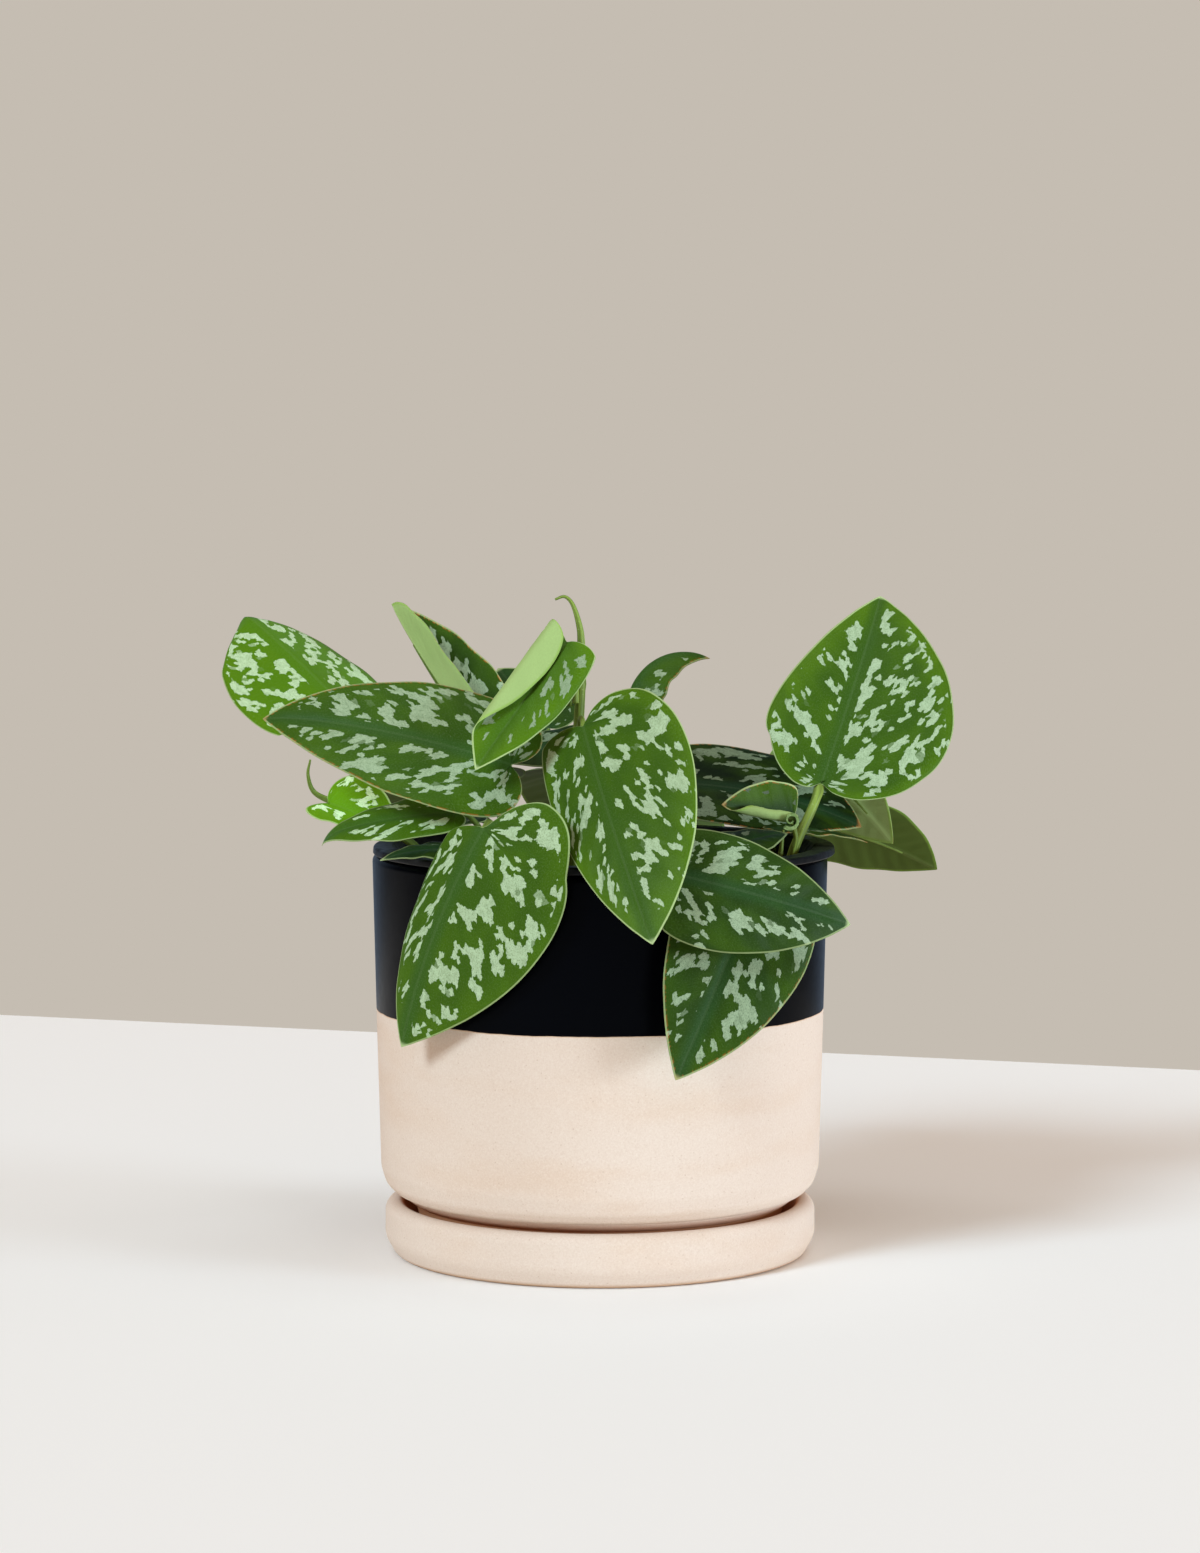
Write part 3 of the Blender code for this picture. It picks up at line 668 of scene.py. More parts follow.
LEAVES = {
    "leaf_front_centre": dict(
        base=(-5, -47, 166), tip=(15, -98, 107), face=(-0.28, -0.85, 0.45), width=(29, 17),
        petiole=((-5.5, -41, 168), (-6, -35.5, 166), (-6.8, -31.8, 160), (-7.2, -30.9, 153)),
        bend=25, fold=(5, 0), curl=(-10, -30), lobe=(1.3, 0.3), belly=(0.15, 0.2), shear=(0.05, 0),
    ),
    "leaf_front_left": dict(
        base=(-34, -72, 138), tip=(-59, -54, 71), face=(-0.2, -0.95, 0.2), width=(33, 13),
        petiole=((-32, -66, 139), (-29, -55, 132), (-27, -47, 120)), hole=(-26, -44), bend=15,
        fold=(0, -10), curl=(-8, -50), lobe=(2.4, 0.2), sway=-13, belly=(0.1, -0.25),
        shear=(0, 0.12),
    ),
    "leaf_front_right": dict(
        base=(21.5, -81, 125.5), tip=(73.5, -66, 109), face=(0.2, -0.93, 0.3), width=(16, 19.5),
        petiole=((19, -78, 130), (16, -70, 133.5), (13, -57, 128)), hole=(12, -46), bend=25,
        fold=(5, 5), curl=(-20, -25), lobe=(0.8, 0.6),
    ),
    "leaf_front_right_low": dict(
        base=(45.5, -65, 119.5), tip=(22, -80, 65), face=(0.3, -0.9, 0.25), width=(23, 20),
        petiole=((45, -66, 125), (42, -62, 131), (38, -52, 129)), hole=(33, -42), bend=15,
        fold=(10, 5), curl=(-15, -15), lobe=(1.8, 1),
    ),
    "leaf_left_big": dict(
        base=(-26.5, -52, 155), tip=(-101, -36, 167.5), face=(-0.1, -0.8, 0.6), width=(21, 21),
        petiole=((-25, -46, 164), (-19, -38, 174), (-12, -31, 178.5), (-9.2, -29.3, 176),
            (-9.1, -28.6, 171)),
        bend=30, hook=10, fold=(6, 6), curl=(-20, -20), lobe=(0.8, 1),
    ),
    "leaf_left_rolled": dict(
        base=(-10, -36, 190.5), tip=(-36.5, -66, 154.5), face=(0.1, -0.85, 0.5), width=(12, 17),
        petiole=((-8.7, -34.3, 185), (-7.5, -32.3, 178), (-7.4, -31.9, 172)), bend=5, fold=(25, 5),
        curl=(-60, -5), roll=(0, 190), roll_at=(0.5, 0.36), roll_width=0.25, lobe=(0.3, 0.6),
        belly=(0.2, 0),
    ),
    "leaf_back_left": dict(
        base=(-81.5, -6, 172.5), tip=(-113, 41, 193), face=(-0.26, -0.5, 0.82), width=(24.5, 28),
        petiole=((-76, -9, 169), (-63, -7, 161), (-48, 2, 140)), hole=(-40, 4), bend=10, hook=60,
        fold=(-30, -38), curl=(-10, -10), belly=(0.3, 0), shear=(0.16, 0), rib=0.6, lobe=(0, 0),
    ),
    "leaf_back_folded": dict(
        base=(-37.5, 20, 157), tip=(-65.5, 32, 199), face=(0.84, -0.41, 0.37), width=(15, 17),
        petiole=((-34, 18, 150), (-31, 15, 132)), hole=(-30, 14), bend=-10, fold=(53, 53),
        belly=(0.95, 0.2),
    ),
    "leaf_right_big": dict(
        base=(68, -4, 145.5), tip=(89, 44, 201), face=(0.25, -0.8, 0.6), width=(23, 34),
        petiole=((65.5, -7, 139), (59.5, -10, 126)), hole=(56, -9), bend=25, hook=5, fold=(8, 8),
        curl=(-20, -15), belly=(-0.75, -0.22), shear=(0.13, 0.2), stalk=(1.6, 1.4),
    ),
    "leaf_right_dark": dict(
        base=(26, 12, 144), tip=(82, 22, 129.5), face=(-0.15, -0.6, 0.8), width=(22, 15),
        petiole=((24, 12, 138), (22, 12, 126)), hole=(22, 11), bend=30, curl=(-10, -25),
        belly=(0.7, 0.2),
    ),
    "leaf_right_back": dict(
        base=(63, 34, 155.5), tip=(92.5, 30, 123.5), face=(0.5, 0.8, -0.1), width=(16, 14),
        petiole=((60, 36, 150), (53, 31, 138)), hole=(46, 24), bend=20, curl=(-10, -25),
    ),
    "leaf_right_under": dict(
        base=(68, 50, 129), tip=(109, 62, 112), face=(0.3, 0.75, 0.6), width=(18, 18),
        petiole=((63, 43, 133), (57, 30, 130)), hole=(52, 18), bend=20, fold=(5, 5),
        curl=(-10, -10), belly=(0.2, 0.2),
    ),
    "leaf_back_right": dict(
        base=(8, 36, 164), tip=(35, 48, 181), face=(-0.5, -0.1, 0.86), width=(12, 12),
        petiole=((3, 35, 158), (3, 32, 140)), hole=(4, 30), bend=115, fold=(-45, -45), rib=0.12,
    ),
    "leaf_right_new": dict(
        base=(58.5, -22, 136), tip=(36.5, -34, 141.5), face=(0.1, -0.8, 0.6), width=(9, 11),
        petiole=((59.5, -21, 130), (58, -20, 124), (55, -20, 114)), hole=(54.5, -20), bend=-10,
        fold=(20, 20), curl=(30, 30), roll=(290, 0), roll_at=(0.15, 0.5), roll_width=0.85,
        lobe=(0, 0.5), stalk=(0.95, 0.7),
    ),
    "leaf_left_small": dict(
        base=(-83, -12, 140), tip=(-60.5, -27, 131), face=(-0.1, -0.6, 0.8), width=(12, 11),
        petiole=((-81.5, -12.2, 138.8), (-79, -12.1, 137.7), (-76.6, -12.05, 136.7)), bend=20,
        fold=(20, 20), stalk=(0.9, 0.7),
    ),
    "leaf_left_low": dict(
        SMALL, base=(-43, -48, 140.5), tip=(-84, -28, 128.5), face=(-0.1, -0.6, 0.8),
        width=(10, 9), petiole=((-39, -44, 139), (-34, -36, 130)), hole=(-32, -30), hook=40,
    ),
    "leaf_left_shade": dict(
        SMALL, base=(-36.5, -18, 136.5), tip=(-64, -16, 130.5), face=(-0.1, -0.1, 1),
        width=(11, 11), petiole=((-33, -16, 134), (-30, -16, 126)), hole=(-29, -16),
    ),
    "leaf_rim_small": dict(
        base=(-43, -53, 130), tip=(-65, -57, 127), face=(-0.1, -0.3, 0.95), width=(6, 6),
        petiole=((-40.5, -49.5, 129.8), (-37.5, -43, 124)), hole=(-36.5, -39.5), bend=25,
        fold=(5, 5), curl=(-20, -20), stalk=(0.9, 0.7),
    ),
    "leaf_right_thin": dict(
        SMALL, base=(54, -2, 131), tip=(83, 8, 126), face=(-0.1, -0.1, 1), width=(7, 7),
        petiole=((50, -2, 128), (46, -1, 122)), hole=(44, 0), stalk=(0.9, 0.7),
    ),
    "leaf_right_inner": dict(
        SMALL, base=(32, -41, 126.5), tip=(57, -20, 131.5), face=(-0.1, -0.5, 0.8), width=(9, 9),
        petiole=((29.5, -40, 124), (28.5, -35, 118)), hole=(28, -31), stalk=(0.9, 0.7),
    ),
    "leaf_inner_left": dict(
        SMALL, base=(0, -5, 159), tip=(-30, -20, 153), face=(0, -0.6, 0.8), width=(12, 9),
        petiole=((2, -4, 154), (3, -6, 136)), hole=(2, -8),
    ),
    "leaf_middle_right": dict(
        base=(14, -7, 138), tip=(21, -35, 128), face=(0.1, -0.3, 0.95), width=(11, 12),
        petiole=((13.5, -3, 134), (13, 0, 124)), hole=(13, 1), bend=25, fold=(6, 6),
        curl=(-20, -20),
    ),
    "leaf_middle_back": dict(
        base=(14, 20, 141), tip=(-10, 6, 136), face=(-0.1, -0.2, 1), width=(11, 10),
        petiole=((15.5, 22, 137), (16, 25, 126)), hole=(16, 26), bend=25, fold=(6, 6),
        curl=(-20, -20),
    ),
    "leaf_back_centre": dict(
        SMALL, base=(-16.5, 24, 160.5), tip=(-32.5, 45, 178), face=(-0.1, -0.7, 0.6),
        width=(13, 13), petiole=((-14.5, 21, 155), (-9, 18, 138)), hole=(-8, 16),
    ),
    "leaf_rear_left": dict(
        REAR, base=(-38, 50, 146), tip=(-74, 88, 122), face=(-0.3, 0.55, 0.78), width=(20, 21),
        petiole=((-35, 46, 142), (-28, 42, 130)), hole=(-26, 40), bend=35,
    ),
    "leaf_rear_centre": dict(
        REAR, base=(-4, 62, 144), tip=(-12, 112, 116), face=(-0.05, 0.5, 0.86), width=(21, 20),
        petiole=((-3, 57, 142), (-1, 50, 130)), hole=(0, 46), bend=40,
    ),
    "leaf_rear_right": dict(
        REAR, base=(36, 52, 144), tip=(66, 92, 118), face=(0.3, 0.5, 0.8), width=(21, 20),
        petiole=((32, 48, 141), (27, 42, 130)), hole=(25, 40), bend=38,
    ),
    "leaf_rear_low": dict(
        base=(18, 76, 130), tip=(30, 86, 72), face=(0.2, 0.95, 0.2), width=(21, 22),
        petiole=((16, 70, 133), (14, 60, 131), (13, 52, 118)), hole=(13, 51), bend=12, fold=(6, 6),
        curl=(-20, -20),
    ),
}
print("leaves in the table:", len(LEAVES))

# %% [markdown]
# Laying out a leaf: the midrib
#
# A blade starts from its midrib. It runs from base to tip, bends down evenly, hooks at its
# end and sways to one side, and it always ends exactly at the tip that the table gives. At
# each of its points it also keeps three directions: forward, up from the face and to the
# right. Everything else on the leaf is placed by them.

# %% The midrib
RIB_STEPS = 60
HOOK_FROM = 0.75  # a hook starts this far along the blade


def midrib(leaf):
    """Points along the midrib, the way it runs, the way the face looks and the way to the right."""
    base, tip = np.array(leaf["base"], float), np.array(leaf["tip"], float)
    along = unit(tip - base)
    face = unit(leaf["face"] - along * np.dot(leaf["face"], along))
    u = np.linspace(0, 1, RIB_STEPS + 1)
    bend, hook, sway = (np.radians(leaf[key]) for key in ("bend", "hook", "sway"))
    dip = bend * (u - 0.5) + hook * np.clip((u - HOOK_FROM) / (1 - HOOK_FROM), 0, 1) ** 1.5
    swing = sway * (u - 0.5)
    ways = [np.sin(swing) * np.cos(dip), np.cos(swing) * np.cos(dip), -np.sin(dip)]
    ways = np.column_stack(ways)
    points = np.vstack([np.zeros(3), np.cumsum(ways[1:] + ways[:-1], axis=0) / 2])
    level = Vector(points[-1]).rotation_difference(Vector((0, 1, 0))).to_matrix()
    level = np.array(level)
    length = np.linalg.norm(tip - base)
    points = points @ level.T * length / np.linalg.norm(points[-1])
    ways = ways @ level.T
    up = np.array([0, 0, 1]) - ways * ways[:, 2:]
    up /= np.linalg.norm(up, axis=1)[:, None]
    right = np.cross(ways, up)
    to_part = np.vstack([np.cross(along, face), along, face])
    return base + points @ to_part, ways @ to_part, up @ to_part, right @ to_part, length


rib = midrib(SHAPE | LEAVES["leaf_front_centre"])[0]
print("front leaf: its midrib is", len(rib), "points, and its tip is at", rib[-1].round(1))

# %% [markdown]
# Laying out a leaf: half a blade
#
# Each half of a blade is a grid whose rows follow the side veins. Every point also keeps what
# its finish needs to know: how far it is along its vein and between the veins, for a pattern
# that runs with them, and how far it is from the margin, the tip and the midrib. Between two
# side veins the blade is raised a little, as on a quilt, and its midrib lies in a groove.
# The margin has a gentle ripple, since no real leaf lies quite flat.

# %% Half a blade
QUILT = 0.10
GROOVE = 0.22
WAVE = 0.45
VEINS = 8.0  # quilted side veins on each half
RIPPLES = 2.7
CURL_POWER = 1.3
CROSS_STEPS = 60


def vein_rows(leaf, k, rows, length):
    """For each row: where it meets the margin, where it leaves the midrib, and its place."""
    width = leaf["width"][k]
    edge = through(HALF_OUTLINE, rows + 1)
    free = (edge[:, 1] - VEIN_SWEEP * edge[:, 0]) * length
    free[-1] = length
    root = np.maximum(0, free)
    first = np.argmax((free > 0) & (np.arange(rows + 1) > rows // 6))
    rise = np.clip(edge[:, 1], 0, 1)
    edge[:, 1] += leaf["belly"][k] * rise * (1 - rise)
    edge[:, 1] = np.where(edge[:, 1] < 0, edge[:, 1] * leaf["lobe"][k], edge[:, 1])
    edge[:, 1] += leaf["shear"][k] * edge[:, 0]
    edge *= (width, length)
    fan = np.arctan2(edge[:, 1], edge[:, 0])
    vein = root + np.where(np.arange(rows + 1) < first, (fan - fan[first]) * 0.55 * width, 0)
    return edge, root, vein


def summed(values):
    """The running sum of values at even steps, each step by the mean of its two ends."""
    return np.append(0, np.cumsum(values[1:] + values[:-1])) / 2


def between(values, place):
    """Vectors read off between the points of the midrib."""
    return np.column_stack([np.interp(place, range(len(values)), v) for v in values.T])


def half_blade(leaf, side, rows, columns):
    """One half of a blade as a grid of points, with the pattern and edge values of each."""
    points, ways, up, right, length = midrib(leaf)
    k = 0 if side < 0 else 1
    width = leaf["width"][k]
    fold, curl, roll = (np.radians(leaf[key][k]) for key in ("fold", "curl", "roll"))
    edge, root, vein = vein_rows(leaf, k, rows, length)
    f = np.linspace(0, 1, columns + 1)
    grid, pattern, edges = np.zeros((3, rows + 1, columns + 1, 3))
    for i, (out, y) in enumerate(edge):
        bow = root[i] + 0.38 * (y - root[i])
        across = 1.1 * (1 - f) * f * out + f * f * out
        forward = (1 - f) ** 2 * root[i] + 2 * (1 - f) * f * bow + f * f * y
        steps = np.linspace(0, max(out, 1e-6), CROSS_STEPS)
        started = np.clip((steps / width - leaf["roll_at"][k]) / leaf["roll_width"], 0, 1)
        tilt = fold + curl * (steps / width) ** CURL_POWER + roll * started
        run = np.interp(across, steps, summed(np.cos(tilt)) * steps[1])
        lift = np.interp(across, steps, summed(np.sin(tilt)) * steps[1])
        travel = np.append(0, np.cumsum(np.hypot(np.diff(across), np.diff(forward))))
        open_part = np.clip(travel / 3, 0, 1) * np.clip((travel[-1] - travel) / 3, 0, 1)
        ribs = np.cos(2 * np.pi * (vein[i] / length * VEINS + leaf["phase"]))
        lift = lift - QUILT * ribs * open_part
        lift += GROOVE * (np.clip(travel / 1.5, 0, 1) - 1) * min(1, out / 4)
        turns = vein[i] / length * RIPPLES + leaf["phase"] * 3 + 0.3 * side
        lift += WAVE * np.sin(2 * np.pi * turns) * (across / width) ** 2 * min(1, out / 6)
        place = np.clip(forward / length, 0, 1) * (len(points) - 1)
        sideways = side * run[:, None] * between(right, place)
        grid[i] = between(points, place) + sideways + lift[:, None] * between(up, place)
        grid[i] += np.minimum(forward, 0)[:, None] * ways[0]
        pattern[i] = np.column_stack([side * travel, np.full(columns + 1, vein[i]), forward])
        margin = (travel[-1] - travel) * 0.8
        edges[i] = np.column_stack([margin, length - forward, across])
    return grid, pattern, edges


print("each half has", round(VEINS), "side veins, raised by", 2 * QUILT, "mm")

# %% [markdown]
# Laying out a leaf: the whole blade
#
# The two halves share the points of the midrib, so they are joined there without a seam. The
# sheet is then thickened by a modifier, less towards the margin, where a real blade thins
# out. The modifier gives the lower side its own finish too, because the two sides of a leaf
# look quite different.

# %% The whole blade
SPACING = 0.95
BLADE = 0.6
THIN_EDGE = 0.3  # share of the thickness that is left at the margin
THIN_FROM = 2.5
APART = 137.0  # the patterns of two leaves are read this far apart


def joined(halves, n):
    """The points of the midrib once, then the rest of each half."""
    left, right = halves[0][n], halves[1][n]
    return np.vstack([left[1:, 0], left[1:, 1:].reshape(-1, 3), right[1:, 1:].reshape(-1, 3)])


def blade(name, leaf, finishes):
    """The blade as one thin sheet, thickened, with its pattern values."""
    length = np.linalg.norm(np.subtract(leaf["tip"], leaf["base"]))
    rows = int(np.clip(length * 1.9 / SPACING, 48, 110))
    columns = int(np.clip(max(leaf["width"]) * 0.85 / SPACING, 10, 22))
    halves = [half_blade(leaf, side, rows, columns) for side in (-1, 1)]
    points, pattern, edges = (joined(halves, n) for n in range(3))
    wide = rows * columns
    ridge = np.arange(rows)
    faces = []
    for side in (0, 1):
        index = rows + side * wide + np.arange(wide).reshape(rows, columns)
        index = np.column_stack([ridge, index]).tolist()
        for i in range(rows - 1):
            for j in range(columns):
                face = (index[i][j], index[i][j + 1], index[i + 1][j + 1], index[i + 1][j])
                faces.append(face if side else face[::-1])
    piece = mesh_piece(name, points, faces, finishes)
    pattern[:, 1] += leaf["seed"] * APART
    write(piece.data, "pattern", pattern)
    write(piece.data, "edges", edges)
    body = piece.vertex_groups.new(name="body")
    for i, margin in enumerate(edges[:, 0]):
        body.add([i], float(np.clip(margin / THIN_FROM, 0.0, 1.0)), "REPLACE")
    thicken = piece.modifiers.new("thicken", "SOLIDIFY")
    thicken.thickness = BLADE * MM
    thicken.offset = 0
    thicken.vertex_group = "body"
    thicken.thickness_vertex_group = THIN_EDGE
    thicken.material_offset = 1
    return piece


print("a blade is", BLADE, "mm thick, and", round(BLADE * THIN_EDGE, 2), "mm at its margin")

# %% [markdown]
# Fields of silver
#
# Under the skin of this plant's leaves lie pockets of air, and where they are the leaf looks
# silver. The pockets keep to small fields between the finest veins, so a splash of silver has
# a blocky, ragged outline that follows the veins. Here a cell pattern plays the small fields,
# and a slow noise read once per cell says whether that field is silver. The midrib, the
# margin and the tip stay green.

# %% The silver pattern
FIELD = (1.9, 1.3, 1.0)  # size of a field along and across the veins
FIELD_SHAKE = (2.0, 1.7, 0)
FIELD_BORDER = 0.006
SILVER_LIMIT = 0.655
SILVER_SPAN = 0.22
ACROSS_VEINS = 0.75  # side veins leave the midrib at a slant, so they lie closer than along it


def leaf_places(pen):
    """The places on the flat blade, and the distances from its margin, tip and midrib."""
    at = pen.node("Attribute", out="Vector", attribute_name="pattern")
    edges = pen.node("Attribute", out="Vector", attribute_name="edges")
    return at, edges


def silver_fields(flat, margin, to_tip, middle, share):
    """1 on the silver fields. A larger share makes more of them."""
    shaken = flat.noise(1.1, 3.0, 0.6, out=1).vector("SUBTRACT", (0.5, 0.5, 0.5))
    shaken = flat.vector("ADD", shaken.vector("MULTIPLY", FIELD_SHAKE))
    fields = shaken.vector("DIVIDE", FIELD).cells(out="Position", voronoi_dimensions="2D")
    fields = fields.vector("MULTIPLY", FIELD)
    splash = fields.vector("MULTIPLY", (0.85, 1.15, 1)).noise(0.17, 1.0, 0.5)
    amount = splash + (fields.noise(0.6, 0.0) - 0.5) * 0.45
    green = margin.step(3.4, 0.8) * 0.16 + middle.step(3.4, 1.2) * 0.3
    green = green + to_tip.step(9.0, 2.0) * 0.1
    limit = SILVER_LIMIT - share * SILVER_SPAN
    return (amount - green).step(limit - FIELD_BORDER, limit + FIELD_BORDER)


print("a silver field is", FIELD[0], "by", FIELD[1], "mm")

# %% [markdown]
# The two sides of a leaf
#
# Close to the midrib the green is bluer and hazy, a painted sheen, and towards the margin it is
# fresher on a young leaf. The margin has a thin pale line, and a dry tip is brown. The lower side
# is a paler, duller green, and its midrib is paler still. It shows no silver. On leaves in the
# shadow of others the lower side is painted darker, as shade.

# %% The finish of a leaf
BLACK = (0.0, 0.0, 0.0, 1.0)
GREEN_DARK = shade(26, 46, 16)
GREEN_LIGHT = shade(82, 126, 14)
GREEN_FRESH = shade(96, 136, 10)
# A bluer haze along the midrib: painted sheen.
GREEN_PAINTED_SHEEN = shade(50, 92, 56)
SILVER = shade(169, 190, 152)
RUST = shade(176, 96, 40)
MARGIN_LINE = shade(206, 226, 158)
TIP_FRESH = shade(176, 196, 138)
TIP_DRY = shade(158, 100, 44)
BACK_DARK = shade(68, 90, 14)
BACK_LIGHT = shade(150, 178, 104)
BACK_SHADE = shade(50, 74, 26)
BACK_RIB = shade(196, 212, 150)
BACK_RIM = shade(150, 186, 84)


def blend(first, second, t):
    """A colour between two others, or past the second when t is over 1."""
    return tuple(a + (b - a) * t for a, b in zip(first, second))


def on_scale(first, second, t):
    """From the first colour to the second, or towards black as painted shade when t is below 0."""
    return blend(first, second, t) if t >= 0 else blend(first, BLACK, -t)


def leaf_face(name, leaf):
    """The upper side: green with silver fields, a painted sheen by the midrib and a pale margin."""
    finish, shader, pen = new_finish(name, Specular_IOR_Level=0.07)
    at, edges = leaf_places(pen)
    flat = at.vector("MULTIPLY", (1, ACROSS_VEINS, 0))
    margin, to_tip, middle = edges.part("X"), edges.part("Y"), edges.part("Z")
    silver = silver_fields(flat, margin, to_tip, middle, leaf["silver"])
    fine = flat.noise(2.6, 3.0, 0.75)
    # A tone below 0 paints shade: the green darkens towards black.
    green = on_scale(GREEN_DARK, GREEN_LIGHT, leaf["tone"])
    fresh = flat.noise(0.09, 2.0).step(0.35, 0.7) * 0.35
    fresh = fresh + margin.step(9.0, 0.5) * 0.75 * leaf["youth"]
    colour = fresh.mix(green, blend(green, GREEN_FRESH, 0.45))
    # A bluer haze along the midrib: painted sheen, weaker on young leaves.
    painted_sheen = blend(green, GREEN_PAINTED_SHEEN, 0.4 * (1 - leaf["youth"] * 0.75))
    colour = (middle.step(4.0, 0.8) * 0.7).mix(colour, painted_sheen)
    colour = (middle.step(0.6, 0.25) * 0.12).mix(colour, blend(green, SILVER, 0.3))
    # A low glow dims the silver, which paints shade on leaves in the shadow of others.
    bright = blend(BLACK, SILVER, leaf["glow"])
    sheen = (flat.noise(0.5, 3.0, 0.65) * 0.6 + fine * 0.6).step(0.42, 0.74)
    colour = (silver * 0.97).mix(colour, sheen.mix(blend(bright, green, 0.35), bright))
    colour = (fine.step(0.5, 0.34) * 0.42).mix(colour, blend(green, BLACK, 0.5))
    speckle = 0.08 + 0.14 * min(1, max(0, leaf["tone"]) * 3)
    colour = (fine.step(0.52, 0.68) * speckle).mix(colour, blend(green, SILVER, 0.45))
    rust = flat.noise(0.9, 1.0).step(0.5, 0.56) * margin.step(0.9, 0.5) * leaf["dry"]
    colour = (rust * 0.8).mix(colour, RUST)
    line = margin.step(0.5, 0.28) * (0.5 + 0.3 * leaf["youth"])
    colour = line.mix(colour, blend(green, MARGIN_LINE, 0.75))
    dry_tip = blend(TIP_FRESH, TIP_DRY, leaf["dry"])
    feed(shader, "Base Color", (to_tip.step(2.2, 0.5) * 0.8).mix(colour, dry_tip))
    feed(shader, "Roughness", 0.46 - silver * 0.04 + (fine - 0.5) * 0.2)
    bump(shader, fine * 0.6 + silver * 0.2, 0.07)
    return finish


def leaf_back(name, leaf):
    """The lower side: a duller green without silver, with a paler midrib and rim."""
    finish, shader, pen = new_finish(name, Roughness=0.6, Specular_IOR_Level=0.03)
    at, edges = leaf_places(pen)
    flat = at.vector("MULTIPLY", (1, 1, 0))
    # A back below 0 paints shade: the lower side darkens towards black.
    green = on_scale(BACK_DARK, BACK_LIGHT, leaf["back"])
    pale = blend(green, BACK_RIB, 0.12 + 0.22 * min(1, max(0, leaf["back"])))
    dark = blend(green, BACK_SHADE, 0.35)
    fine = flat.noise(1.6, 4.0, 0.7)
    colour = fine.step(0.3, 0.7).mix(dark, green)
    colour = (flat.noise(0.1).step(0.35, 0.65) * 0.5).mix(colour, dark)
    colour = colour.tinted(pale, 0.6)
    colour = edges.part("Z").step(1.2, 0.4).mix(colour, pale)
    rim = blend(green, BACK_RIM, 0.45 + 0.3 * min(1, leaf["back"]))
    feed(shader, "Base Color", (edges.part("X").step(0.9, 0.4) * 0.8).mix(colour, rim))
    bump(shader, fine * 0.4, 0.1)
    return finish


print("the greens of a face:", [round(c, 3) for c in GREEN_DARK[:3] + GREEN_LIGHT[:3]])

# %% [markdown]
# Petioles and stems
#
# A petiole is a round green stalk, a little swollen where it leaves the soil and at the knee
# under the blade, and it goes on as the midrib on the blade's lower side. Vine stems are the
# same green with a ring at each node. All of them are swept circles.

# %% The finish of a stalk, and its form
STALK_DARK = shade(70, 96, 34)
STALK_PALE = shade(142, 166, 70)
STALK_FLECK = shade(200, 206, 150)
RIB_END = 0.32  # radius of the midrib where it ends
KNEE = 0.25  # how much thicker the petiole is at its knee
SUNK = 6  # how deep a stalk stands in the mix
PETIOLE_SIDES = 12


def stalk_green(name, tone):
    """Streaked green, with a few pale flecks."""
    finish, shader, pen = new_finish(name, Roughness=0.45, Specular_IOR_Level=0.2)
    at = pen.node("Attribute", out="Vector", attribute_name="round")
    green = blend(STALK_DARK, STALK_PALE, tone)
    streaks = at.vector("MULTIPLY", (1.3, 1.3, 0.06)).noise(1.0, 2.0, 0.6)
    colour = streaks.step(0.4, 0.62).mix(blend(green, BLACK, 0.45), green)
    fleck = at.noise(1.4, 1.0).step(0.68, 0.74) * 0.5
    feed(shader, "Base Color", fleck.mix(colour, blend(green, STALK_FLECK, 0.5)))
    bump(shader, streaks, 0.08)
    return finish


def down_to_hole(path, hole):
    """The path, ending in its hole in the soil when it has one."""
    return list(path) + ([(*hole, SOIL_TOP + 1)] if hole else [])


def rod(name, line, radii, sides, finish):
    """A swept circle that keeps for each point where it is round and along the rod."""
    points, faces = tube(line, radii, sides)
    made = mesh_piece(name, points, faces, [finish])
    run = np.append(0, np.cumsum(np.linalg.norm(np.diff(line, axis=0), axis=1)))
    angles = np.tile(np.arange(sides) * 2 * np.pi / sides, len(line))
    around = np.column_stack([np.cos(angles), np.sin(angles), np.repeat(run, sides)])
    write(made.data, "round", around)
    return made


def stalk(name, leaf, finish):
    """The petiole and the midrib below the blade, as one swept circle."""
    points, _, up, _, _ = midrib(leaf)
    foot, neck = leaf["stalk"]
    places = (np.linspace(0, leaf["rib"], 14) * (len(points) - 1)).astype(int)
    thin = neck + (RIB_END - neck) * np.linspace(0, 1, len(places))
    rib = points[places] - up[places] * (thin[:, None] + GROOVE * 0.5)
    path = through(down_to_hole(leaf["petiole"], leaf.get("hole"))[::-1] + [rib[0]], 30)
    t = np.linspace(0, 1, len(path))
    radii = foot + (neck - foot) * t + KNEE * np.exp(-(((t - 0.93) / 0.05) ** 2))
    if "hole" in leaf:
        radii += 0.35 * np.exp(-((t / 0.06) ** 2)) * foot
        path = np.vstack([(*leaf["hole"], SOIL_TOP - SUNK), path])
        radii = np.append(radii[0], radii)
    line, radii = np.vstack([path, rib[1:]]), np.append(radii, thin[1:])
    return rod(name, line, radii, PETIOLE_SIDES, finish)


print("a petiole has", PETIOLE_SIDES, "sides and stands", SUNK, "mm deep in the mix")
